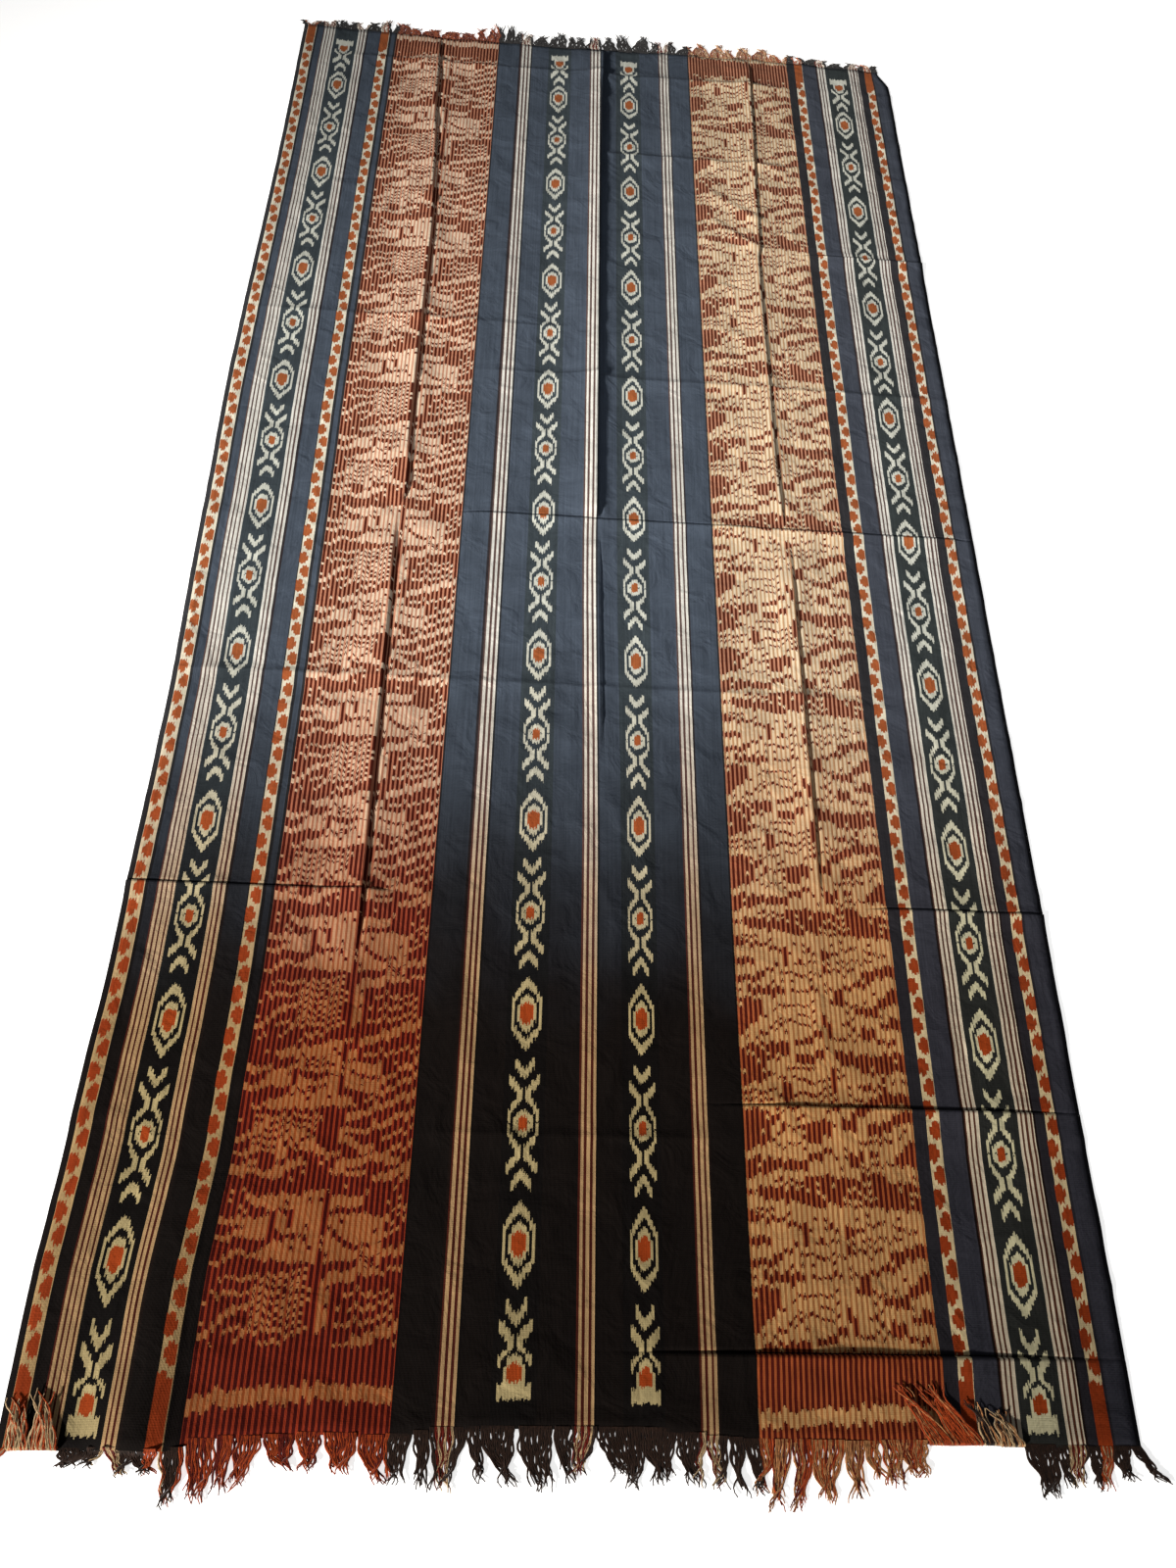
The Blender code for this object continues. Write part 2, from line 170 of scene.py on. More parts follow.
# How far the left, middle and right crests stray from their lines, along the cloth
CrestWander = namedtuple("CrestWander", "v left middle right")
CREST_WANDER = tuple(CrestWander(*row) for row in (
    (0.00, 0.002, 0.004, 0.005),
    (0.60, 0.002, 0.005, 0.005),
    (0.80, -0.001, 0.005, 0.005),
    (1.00, -0.003, 0.004, 0.005),
    (1.15, -0.006, 0.003, 0.006),
    (1.19, -0.003, 0.001, 0.003),
    (1.24, 0.004, 0.000, -0.002),
    (1.35, 0.000, 0.000, -0.0045),
    (1.80, 0.000, 0.000, -0.004),
    (1.84, -0.001, 0.000, 0.001),
    (2.00, -0.008, 0.001, 0.003),
    (2.20, -0.018, 0.003, 0.0085),
    (2.39, -0.023, 0.006, 0.0113),
))
CROSSWISE = {
    "middle": Crease(0.360, 1.195, 1.150, 1.195, 0.0042, 0.020, 0.035, 0.040, 0.0018, 0.0042),
    "quarter_left": Crease(-0.03, 0.588, 0.330, 0.588, 0.0036, 0.016, 0.030, 0.030, 0.0017, 0.0036),
    "quarter_right": Crease(0.920, 0.588, 1.180, 0.588, 0.0036, 0.016, 0.030, 0.030, 0.0017, 0.0036),
    "near_end": Crease(0.560, 0.080, 1.180, 0.080, 0.0085, 0.030, 0.060, 0.250, 0.0024, 0.0085),
    "near_eighth": Crease(0.680, 0.338, 1.180, 0.338, 0.0060, 0.024, 0.055, 0.150, 0.0020, 0.0050),
    "far_quarter": Crease(0.920, 1.822, 1.180, 1.822, 0.0050, 0.020, 0.045, 0.040, 0.0018, 0.0040),
    "far_eighth": Crease(0.560, 2.064, 0.960, 2.064, 0.0038, 0.014, 0.040, 0.060),
    "far_end": Crease(0.080, 2.304, 0.960, 2.304, 0.0036, 0.014, 0.030, 0.060),
    "near_faint": Crease(0.360, 0.300, 0.760, 0.300, 0.0022, 0.012, 0.026, 0.080),
    "below_middle_faint": Crease(-0.03, 0.900, 0.960, 0.900, 0.0024, 0.012, 0.026, 0.080),
    "above_middle_right_faint": Crease(0.360, 1.490, 1.180, 1.490, 0.0026, 0.012, 0.026, 0.080),
    "above_middle_left_faint": Crease(-0.03, 1.600, 0.560, 1.600, 0.0024, 0.012, 0.026, 0.080),
}
SLANTING = {
    "upper_wrinkle": Crease(0.765, 1.985, 0.864, 1.902, 0.0045, 0.012, 0.020, 0.020),
    "lower_wrinkle": Crease(0.772, 1.902, 0.860, 1.826, 0.0045, 0.012, 0.020, 0.020),
}
HUMP_U = 0.135
HUMP_REACH_V = 0.34
HUMP_HEIGHT = 0.0090
HUMP_HALF_WIDTH = 0.060
RIPPLE_HEIGHT = 0.0022
RIPPLES_PER_METRE = (11.0, 4.5)
CRUMPLE_HEIGHT = 0.0015
CRUMPLES_PER_METRE = (9.0, 13.0)
CRUMPLE_SLANT = 3.0
CRUMPLE_SHARPNESS = 5.0
# How far the left selvedge, and the cloth just inside it, sway sideways along the cloth
LeftSway = namedtuple("LeftSway", "v edge inner")
LEFT_SWAY = tuple(LeftSway(*row) for row in (
    (0.00, -0.004, -0.010),
    (0.12, -0.005, -0.010),
    (0.30, 0.001, 0.000),
    (0.50, 0.006, 0.004),
    (0.85, 0.008, 0.003),
    (1.15, 0.002, 0.000),
    (1.45, -0.004, -0.003),
    (2.00, 0.000, -0.004),
    (2.39, -0.002, -0.004),
))
LEFT_SWAY_WIDTH = 0.38
LEFT_INNER_U = 0.15
MIDDLE_SWAY = 0.006
MIDDLE_SWAY_U = 0.570
MIDDLE_SWAY_WIDTH = 0.110
MIDDLE_SWAY_TO_V = 1.20
MIDDLE_SWAY_FADE = 0.60
CORNER_TUCK = 0.020
CORNER_TUCK_FROM_U = 1.118
CORNER_TUCK_FROM_V = 2.335
# How far each end of the weave bows outwards across the cloth, and how far the near end frayed back
EndBow = namedtuple("EndBow", "u near far frayed")
END_BOW = tuple(EndBow(*row) for row in (
    (0.00, 0.012, 0.004, 0.000),
    (0.16, 0.010, 0.002, 0.000),
    (0.22, 0.000, 0.000, 0.001),
    (0.36, 0.000, 0.000, 0.004),
    (0.48, -0.001, -0.001, 0.010),
    (0.62, -0.001, 0.002, 0.010),
    (0.76, 0.000, 0.010, 0.002),
    (0.95, 0.000, 0.012, 0.000),
    (1.15, 0.002, 0.004, 0.000),
))
END_BOW_V = 0.16
END_WAVE = 0.0032
END_WAVES_PER_METRE = 15.0
END_WAVE_REACH_V = 0.06
FRAYED_REACH_V = 0.045
# The grid has lines at the crests and down the walls of the grooves, and closer ones at the wrinkles
LINE_SPACING = 0.0125
WRINKLE_LINE_SPACING = 0.007
CLOSEST_LINES = 0.0018
WRINKLES_U = (0.765, 0.845)
WRINKLES_V = (1.832, 1.99)
CREST_LINES = (-0.026, -0.018, -0.012, -0.008, -0.004, -0.002, 0.0, 0.002, 0.004, 0.0065, 0.009, 0.013,
               0.018, 0.026)
CREST_SHIFT_WIDTH = 0.085
BEHIND_GROOVE = 0.50
GROOVE_LINES = (0.5, 1.0, 1.5, 2.0)


def smooth(share):
    """0 to 1 with level ends."""
    share = min(max(share, 0.0), 1.0)
    return share * share * (3.0 - 2.0 * share)


def between(rows, key, value, spot):
    """A column of a table at a spot between its rows, eased from row to row."""
    for low, high in zip(rows, rows[1:]):
        if spot <= getattr(high, key):
            break
    share = (spot - getattr(low, key)) / (getattr(high, key) - getattr(low, key))
    start = getattr(low, value)
    return start + (getattr(high, value) - start) * smooth(share)


def crease_height(crease, u, v):
    """How high one crease lifts the sheet at a point: a sharp crest with hollow flanks, and the
    narrow groove that the cloth was pressed into beside it, with a lower flank behind the groove."""
    along_u = crease.end_u - crease.start_u
    along_v = crease.end_v - crease.start_v
    length = math.hypot(along_u, along_v)
    from_u = u - crease.start_u
    from_v = v - crease.start_v
    along = (from_u * along_u + from_v * along_v) / length
    aside = (from_v * along_u - from_u * along_v) / length
    flank = crease.left if aside > 0.0 else crease.right
    drop = 1.0 - min(abs(aside) / flank, 1.0)
    ends = smooth(min(along, length - along) / crease.fade)
    height = crease.height * drop ** 1.5
    if crease.groove:
        past = max(aside / crease.groove, 0.0)
        height *= 1.0 - BEHIND_GROOVE * smooth(past)
        height = max(height - crease.depth * max(1.0 - abs(past - 1.0), 0.0), 0.0)
    return height * ends


def relief(u, v):
    """Height of the sheet's underside: creases, the hump by the near left corner, slight ripples."""
    height = sum(crease_height(crease, u, v) for crease in [*CROSSWISE.values(), *SLANTING.values()])
    for name, crease in LENGTHWISE.items():
        straightened = u - between(CREST_WANDER, "v", name.split("_")[0], v)
        height += crease_height(crease, straightened, v)
    across = smooth(1.0 - abs(u - HUMP_U) / HUMP_HALF_WIDTH)
    height += HUMP_HEIGHT * across * smooth(1.0 - v / HUMP_REACH_V)
    ripple = noise.noise(Vector((u * RIPPLES_PER_METRE[0], v * RIPPLES_PER_METRE[1], 0.0)))
    slanting_u = u * CRUMPLES_PER_METRE[0] + v * CRUMPLE_SLANT
    crumple = abs(noise.noise(Vector((slanting_u, v * CRUMPLES_PER_METRE[1], 7.0))))
    height += RIPPLE_HEIGHT * max(ripple, 0.0)
    return height + CRUMPLE_HEIGHT * max(1.0 - CRUMPLE_SHARPNESS * crumple, 0.0)


def sway(u, v):
    """Sideways push of the sheet at a point: at the left selvedge, along the middle of the nearer half
    and at the tucked corner."""
    edge = between(LEFT_SWAY, "v", "edge", v)
    inner = between(LEFT_SWAY, "v", "inner", v)
    if u < LEFT_INNER_U:
        left = edge + (inner - edge) * u / LEFT_INNER_U
    else:
        left = inner * smooth(1.0 - (u - LEFT_INNER_U) / (LEFT_SWAY_WIDTH - LEFT_INNER_U))
    tucked_u = smooth((u - CORNER_TUCK_FROM_U) / (CLOTH_WIDTH - CORNER_TUCK_FROM_U))
    tucked_v = smooth((v - CORNER_TUCK_FROM_V) / (CLOTH_LENGTH - CORNER_TUCK_FROM_V))
    middle = smooth((MIDDLE_SWAY_TO_V - v) / MIDDLE_SWAY_FADE)
    middle *= smooth(1.0 - abs(u - MIDDLE_SWAY_U) / MIDDLE_SWAY_WIDTH)
    return left + MIDDLE_SWAY * middle - CORNER_TUCK * tucked_u * tucked_v


def bow(u, v):
    """Push of the sheet along its length near its two ends, and how far the weave frayed back."""
    near = between(END_BOW, "u", "near", u) * smooth(1.0 - v / END_BOW_V)
    far = between(END_BOW, "u", "far", u) * smooth((v - CLOTH_LENGTH + END_BOW_V) / END_BOW_V)
    nearest = min(v, CLOTH_LENGTH - v)
    wave = noise.noise(Vector((u * END_WAVES_PER_METRE, 2.0 * round(v), 5.0)))
    frayed = between(END_BOW, "u", "frayed", u) * smooth(1.0 - v / FRAYED_REACH_V)
    return far - near + frayed + END_WAVE * wave * smooth(1.0 - nearest / END_WAVE_REACH_V)


def laid(u, v):
    """Where a point of the sheet lies: x, y, and the height of its underside."""
    x = u - CLOTH_WIDTH / 2 + sway(u, v)
    y = v - CLOTH_LENGTH / 2 + bow(u, v)
    return x, y, relief(u, v)


def crest_shift(u, v):
    """Slides the mesh's columns sideways so that they follow the wandering lengthwise creases."""
    shift = 0.0
    for name in ("left", "middle", "right"):
        nearness = smooth(1.0 - abs(u - LENGTHWISE[name + "_far"].start_u) / CREST_SHIFT_WIDTH)
        shift += between(CREST_WANDER, "v", name, v) * nearness
    return shift


def mesh_lines(crests, wanted, wrinkles, end):
    """Grid lines from 0 to end: down the walls of the grooves, close together at the crests and the
    wrinkles, and wide elsewhere. A crest is where it runs and how far beside it its groove lies."""
    fixed = {0.0, end, *wrinkles, *wanted}
    for crest, groove in crests:
        fixed |= {crest, *(crest + groove * share for share in GROOVE_LINES if groove)}
    for crest, groove in crests:
        for step in CREST_LINES:
            line = crest + step
            if 0.0 < line < end and min(abs(line - other) for other in fixed) > CLOSEST_LINES:
                fixed.add(line)
    fixed = sorted(fixed)
    lines = [0.0]
    for low, high in zip(fixed, fixed[1:]):
        fine = wrinkles[0] <= (low + high) / 2 <= wrinkles[1]
        steps = math.ceil((high - low) / (WRINKLE_LINE_SPACING if fine else LINE_SPACING) - 0.01)
        lines += [low + (high - low) * step / steps for step in range(1, steps + 1)]
    return lines


# The warp, set up stripe by stripe across the loom: corded black selvedges, plain indigo fields,
# groups of ivory pinstripes, four columns of small tied figures and two broad ikat bands. Each dye
# has two tones, both with painted light in them: a darker, warmer one with painted shade for the
# near end, and a lighter one with a painted bluish sheen over the rest of the length.
Dye = namedtuple("Dye", "near faded")
DYES = {
    "black": Dye("070302", "2a2b2e"),
    "brown": Dye("110805", "2f2a2c"),
    "indigo": Dye("0b0604", "414a56"),
    # The border dyes' near tones are lighter: a painted warm reflection on the near right corner
    "border black": Dye("1f1d21", "2b2b2e"),
    "border indigo": Dye("2a2a31", "3d424c"),
    "figure ground": Dye("070403", "363e43"),
    "border ground": Dye("20211f", "303637"),
    "madder line": Dye("3c140b", "564440"),
    "ivory": Dye("967a56", "c9c9c2"),
    "dashed": Dye("937a54", "cbc6b4"),
    "border line": Dye("45271c", "564440"),
    "border ivory": Dye("b4a893", "c9c9c2"),
    "border dashed": Dye("b3a17c", "cbc6b4"),
}
# Where each stripe starts, in millimetres from the left selvedge
WarpStripe = namedtuple("WarpStripe", "start_mm dye")
# Pinstripes: the two dyes of each group, by turns, and where their stripes start
PINSTRIPES = (
    ("madder line", "ivory", (38, 40.0, 43.6, 45.8, 49.4, 51.6, 55.2, 57.4)),
    ("ivory", "madder line", (105.6, 109.0, 111.6, 115.2, 117.8)),
    ("madder line", "ivory", (419, 421.4, 424.9, 428.2, 431.7, 434.9)),
    ("madder line", "ivory", (554, 556.4, 560.2, 563.4, 567.0, 570.0)),
    ("madder line", "ivory", (688.6, 690.8, 694.6, 697.4, 701.2, 703.8)),
    ("border line", "border ivory", (1007.6, 1009.2, 1012.6, 1014.8, 1018.2, 1020.6)),
    ("border ivory", "border line", (1071.8, 1075.2, 1077.6, 1081.0, 1083.4, 1086.8, 1089.0)),
)
WARP = sorted([WarpStripe(*row) for row in (
    (0, "black"), (7, "dashed"), (24, "black"), (27, "indigo"), (60.6, "figure ground"),
    (121.4, "brown"), (125, "indigo"), (148.6, "black"), (150, "dashed"), (165.5, "black"),
    (170, "indigo"), (177, "black"), (374, "black"), (377, "indigo"), (416, "brown"),
    (438.2, "black"), (441, "indigo"), (473, "figure ground"), (517, "indigo"), (545, "indigo"),
    (573.6, "black"), (576, "indigo"), (605, "figure ground"), (652, "indigo"), (707.2, "brown"),
    (709.4, "indigo"), (746, "black"), (947, "border black"), (962.5, "border dashed"),
    (978.5, "border indigo"), (1005, "brown"), (1024.2, "border ground"), (1090.6, "brown"),
    (1093.0, "border black"), (1105.0, "border dashed"), (1119.5, "border black"),
    (1123, "border indigo"), (1145, "border black"),
)] + [WarpStripe(start_mm, dyes[index % 2]) for *dyes, starts in PINSTRIPES
      for index, start_mm in enumerate(starts)])
# Where the painted shade of the near end gives way to the painted sheen, and how unevenly
SHEEN_LIT_FROM_V = 0.39
SHEEN_LIT_TO_V = 1.08
SHADE_EDGE_UNEVENNESS = 0.30
SHADE_EDGE_PATCHES_PER_METRE = 6.0
THREAD_WIDTH = 0.0013
THREAD_SHIFT = 0.0042
STREAK_SIZE = 0.0022
STREAK_LENGTH = 0.18
WEFT_SPACING = 0.0021
BLOTCHES_PER_METRE = 14.0
RUMPLES_PER_METRE = 24.0
# Each near tone holds painted shade and each later tone a painted sheen; the border cream's lighter near
# tone is also a painted warm reflection on the near right corner
FIGURE_CREAM = Dye("988962", "babdb3")
BORDER_FIGURE_CREAM = Dye("b3ad8c", "babdb3")
FIGURE_RUST = Dye("86340f", "93532f")
DASH_RUST = Dye("7c2e0e", "96522e")

# One tied figure column, from its middle thread bundle outwards. Each bundle lists the stretches,
# in millimetres along the warp from the middle of an eye, that are kept cream, or dyed rust where
# that is said.
FIGURE_BUNDLES = 6
FIGURE_REPEAT_MM = 254.4
FIGURE_FIRST_EYE_MM = 185.0
EYE_AND_RING = (
    ((-127, -119, "rust"), (-119, -113), (-76, -66), (-43, -31), (-22, -13), (-13, 13, "rust"),
     (13, 22), (31, 43), (67, 77), (113, 119), (119, 128, "rust")),
    ((-127, -120, "rust"), (-120, -113), (-102, -88), (-74, -63), (-40, -28), (-20, -12),
     (-12, 12, "rust"), (12, 20), (29, 40), (64, 75), (88, 103), (114, 120), (120, 128, "rust")),
    ((-126, -117), (-106, -85), (-70, -58), (-35, -24), (-16, -8), (-8, 9, "rust"), (9, 17), (25, 36),
     (59, 71), (85, 106), (117, 127)),
    ((-127, -120), (-110, -101), (-91, -80), (-65, -54), (-30, -21), (-9, 10), (21, 31), (55, 66),
     (80, 91), (101, 110), (120, 128)),
    ((-115, -105), (-88, -77), (-26, -16), (15, 25), (77, 88), (105, 115)),
    ((-126, -112), (-84, -73), (-20, 19), (73, 84), (113, 127)),
)
# The same column at either end of the cloth: a bar, a rust block, half a ring and a hook
END_FIGURE_MM = 134.0
FAR_END_OF_FIGURES = 2.395
END_FIGURE = (
    ((35, 52), (52, 71, "rust"), (71, 78), (105, 117)),
    ((36, 52), (52, 70, "rust"), (70, 77), (83, 96), (108, 119)),
    ((34, 53), (53, 66, "rust"), (66, 75), (80, 101), (112, 124)),
    ((35, 67), (77, 82), (91, 104), (117, 131)),
    ((37, 50), (73, 80), (95, 108)),
    ((34, 51), (67, 77), (98, 110)),
)
FigureColumn = namedtuple("FigureColumn", "middle_mm later_mm shift_mm cream")
LEFT_FIGURES = (FigureColumn(83.0, 13, -22.5, FIGURE_CREAM),)
MIDDLE_LEFT_FIGURES = (FigureColumn(495.5, 0, 0.0, FIGURE_CREAM),)
MIDDLE_RIGHT_FIGURES = (FigureColumn(630.5, 0, -4.0, FIGURE_CREAM),)
RIGHT_FIGURES = (FigureColumn(1048.0, 13, -22.5, BORDER_FIGURE_CREAM),)
BUNDLE_MM = 3.0

# The dashed stripes are five bundles wide: rounded rust blocks, by turns towards either side
DASH_REPEAT_MM = 49.5
DASH_BUNDLE_MM = 3.1
DASHES = (
    ((2, 20),),
    ((0, 22), (32, 41)),
    ((1, 21), (27, 46)),
    ((6, 15), (25, 47)),
    ((27, 45),),
)
DASH_END_MM = 60.0


def add(tree, kind, inputs, operation=None, **settings):
    """Adds a node with its settings, links or fills its inputs, and gives its outputs."""
    node = tree.nodes.new("ShaderNode" + kind)
    if operation:
        node.operation = operation
    for name, value in settings.items():
        setattr(node, name, value)
    fill(tree, node, inputs)
    return node.outputs


def cotton(name):
    """A woven cotton material and the places its pattern needs: across and along the flat cloth,
    the place of each warp thread's own dye along the warp, and how far a place has passed from the
    painted shade of the near end into the painted sheen over the rest."""
    material = bpy.data.materials.new(name)
    material.use_nodes = True
    tree = material.node_tree
    flat = add(tree, "UVMap", {}, uv_map="flat cloth")["UV"]
    spot = add(tree, "SeparateXYZ", (flat,))
    across, along = spot["X"], spot["Y"]
    thread = add(tree, "Math", (across, THREAD_WIDTH), "SNAP")[0]
    loose = add(tree, "TexWhiteNoise", {"W": thread}, noise_dimensions="1D")["Value"]
    slipped = add(tree, "Math", (loose, 0.5), "SUBTRACT")[0]
    slipped = add(tree, "Math", (slipped, THREAD_SHIFT, along), "MULTIPLY_ADD")[0]
    # The painted shade of the near end gives way to the painted sheen along the warp, over an uneven
    # edge
    patches = {"Vector": flat, "Scale": SHADE_EDGE_PATCHES_PER_METRE, "Detail": 3.0}
    slow = add(tree, "TexNoise", patches)["Fac"]
    uneven = add(tree, "Math", (slow, SHADE_EDGE_UNEVENNESS, along), "MULTIPLY_ADD")[0]
    later = SHADE_EDGE_UNEVENNESS / 2
    faded = add(tree, "MapRange", (uneven, SHEEN_LIT_FROM_V + later, SHEEN_LIT_TO_V + later, 0.0, 1.0),
                interpolation_type="SMOOTHSTEP")[0]
    return material, tree, flat, across, along, slipped, faded


def fill_ramp(ramp, stops):
    """Sharp-edged stripes of colour or of tied cotton, from their starts along a ramp."""
    ramp.interpolation = "CONSTANT"
    while len(ramp.elements) > 1:
        ramp.elements.remove(ramp.elements[-1])
    ramp.elements[0].position = 0.0
    ramp.elements[0].color = stops[0][1]
    for position, colour in stops[1:]:
        ramp.elements.new(min(max(position, 0.0), 1.0)).color = colour


def dye_colour(tree, dye, faded):
    """A dye's colour at a place, mixed from its painted-shade near tone and its painted-sheen tone."""
    return add(tree, "Mix", {0: faded, 6: linear(dye.near), 7: linear(dye.faded)}, data_type="RGBA")[2]


def dyed_by_share(tree, share, faded, first, second):
    """The colour of cotton that has the first dye where the share is 0 and the second where it is 1."""
    tones = [dye_colour(tree, dye, faded) for dye in (first, second)]
    return add(tree, "Mix", {0: share, 6: tones[0], 7: tones[1]}, data_type="RGBA")[2]


def striped_warp(tree, across, faded, start_mm, end_mm):
    """The stripes between two places across the warp, in their painted-shade near tones and
    painted-sheen tones.
    """
    rows = [row for row in WARP if start_mm <= row.start_mm < end_mm]
    width = end_mm - start_mm
    at = add(tree, "MapRange", (across, start_mm / 1000, end_mm / 1000, 0.0, 1.0))[0]
    tones = []
    for tone in ("near", "faded"):
        stripes = add(tree, "ValToRGB", (at,))
        stops = [((row.start_mm - start_mm) / width, linear(getattr(DYES[row.dye], tone)))
                 for row in rows]
        fill_ramp(stripes[0].node.color_ramp, stops)
        tones.append(stripes[0])
    return add(tree, "Mix", {0: faded, 6: tones[0], 7: tones[1]}, data_type="RGBA")[2]


def tied_bundle(tree, at, stretches, start_mm, length_mm):
    """One bundle of warp threads: 1 where it is tied off and stays cream, 0.5 where it is rust."""
    bundle = add(tree, "ValToRGB", (at,))
    stops = [(0.0, (0.0, 0.0, 0.0, 0.0))]
    for start, end, *dye in stretches:
        share = 0.5 if dye else 1.0
        begin, stop = ((mm - start_mm) / length_mm for mm in (start, end))
        if abs(stops[-1][0] - begin) < 0.001:
            stops.pop()
        stops += [(max(begin, 0.0), (share, share, share, share)), (stop, (0.0, 0.0, 0.0, 0.0))]
    fill_ramp(bundle[0].node.color_ramp, [(min(stop, 1.0), value) for stop, value in stops])
    return bundle["Alpha"]


def pick_bundle(tree, number, bundles):
    """The value of the bundle that a place's number names."""
    value = bundles[0]
    for index, bundle in enumerate(bundles[1:], 1):
        past = add(tree, "Math", (number, index - 0.5), "GREATER_THAN")[0]
        value = add(tree, "Mix", {0: past, 2: value, 3: bundle})[0]
    return value


def lay_over(tree, ground, number_value, faded, cream, rust):
    """Cream and rust cotton laid over the ground where a bundle's value says so."""
    any_figure = add(tree, "Math", (number_value, 0.25), "GREATER_THAN")[0]
    cream_there = add(tree, "Math", (number_value, 0.75), "GREATER_THAN")[0]
    figure = dyed_by_share(tree, cream_there, faded, rust, cream)
    return add(tree, "Mix", {0: any_figure, 6: ground, 7: figure}, data_type="RGBA")[2]


def through_repeat(tree, spot, repeat_mm, phase):
    """How far through its repeat a pattern is at a spot along the warp, from 0 to 1."""
    turns = add(tree, "Math", (spot, 1000 / repeat_mm, phase), "MULTIPLY_ADD")[0]
    return add(tree, "Math", (turns,), "FRACT")[0]


def from_nearer_end(tree, spot, far_end):
    """How far a spot along the warp lies from the nearer of the two ends."""
    from_far = add(tree, "Math", (far_end, spot), "SUBTRACT")[0]
    return add(tree, "Math", (spot, from_far), "MINIMUM")[0]


def figure_column(tree, ground, across, slipped, faded, column):
    """One column of eyes and rings, tied into the warp about its middle thread."""
    middle = column.middle_mm / 1000
    aside = add(tree, "Math", (across, middle), "SUBTRACT")[0]
    aside = add(tree, "Math", (aside,), "ABSOLUTE")[0]
    number = add(tree, "Math", (aside, 1000 / BUNDLE_MM, 0.5), "MULTIPLY_ADD")[0]
    number = add(tree, "Math", (number,), "FLOOR")[0]
    slide = 1.0 - column.later_mm / (1000 * CLOTH_LENGTH)
    spot = add(tree, "Math", (slipped, slide, -column.shift_mm / 1000), "MULTIPLY_ADD")[0]
    turn = through_repeat(tree, spot, FIGURE_REPEAT_MM, 0.5 - FIGURE_FIRST_EYE_MM / FIGURE_REPEAT_MM)
    half = FIGURE_REPEAT_MM / 2
    repeat = pick_bundle(tree, number, [tied_bundle(tree, turn, bundle, -half, 2 * half)
                                        for bundle in EYE_AND_RING])
    from_end = from_nearer_end(tree, spot, FAR_END_OF_FIGURES)
    share = add(tree, "Math", (from_end, 1000 / END_FIGURE_MM), "MULTIPLY", use_clamp=True)[0]
    end = pick_bundle(tree, number, [tied_bundle(tree, share, bundle, 0.0, END_FIGURE_MM)
                                     for bundle in END_FIGURE])
    beyond = add(tree, "Math", (from_end, END_FIGURE_MM / 1000), "GREATER_THAN")[0]
    value = add(tree, "Mix", {0: beyond, 2: end, 3: repeat})[0]
    inside = add(tree, "Math", (number, FIGURE_BUNDLES - 0.5), "LESS_THAN")[0]
    value = add(tree, "Math", (value, inside), "MULTIPLY")[0]
    return lay_over(tree, ground, value, faded, column.cream, FIGURE_RUST)


def dashed_stripe(tree, ground, across, slipped, faded, start_mm, shift_mm):
    """One stripe of stepped rust blocks on ivory, with a longer block at each end."""
    number = add(tree, "Math", (across, start_mm / 1000), "SUBTRACT")[0]
    number = add(tree, "Math", (number, 1000 / DASH_BUNDLE_MM), "MULTIPLY")[0]
    number = add(tree, "Math", (number,), "FLOOR")[0]
    turn = through_repeat(tree, slipped, DASH_REPEAT_MM, shift_mm / DASH_REPEAT_MM)
    bundles = [tied_bundle(tree, turn, [(*dash, "rust") for dash in dashes], 0.0, DASH_REPEAT_MM)
               for dashes in DASHES]
    value = pick_bundle(tree, number, bundles)
    from_end = from_nearer_end(tree, slipped, CLOTH_LENGTH)
    solid = add(tree, "Math", (from_end, DASH_END_MM / 1000), "LESS_THAN")[0]
    solid = add(tree, "Math", (solid, 0.5), "MULTIPLY")[0]
    value = add(tree, "Math", (value, solid), "MAXIMUM")[0]
    above = add(tree, "Math", (number, -0.5), "GREATER_THAN")[0]
    below = add(tree, "Math", (number, len(DASHES) - 0.5), "LESS_THAN")[0]
    value = add(tree, "Math", (value, above), "MULTIPLY")[0]
    value = add(tree, "Math", (value, below), "MULTIPLY")[0]
    return lay_over(tree, ground, value, faded, DASH_RUST, DASH_RUST)


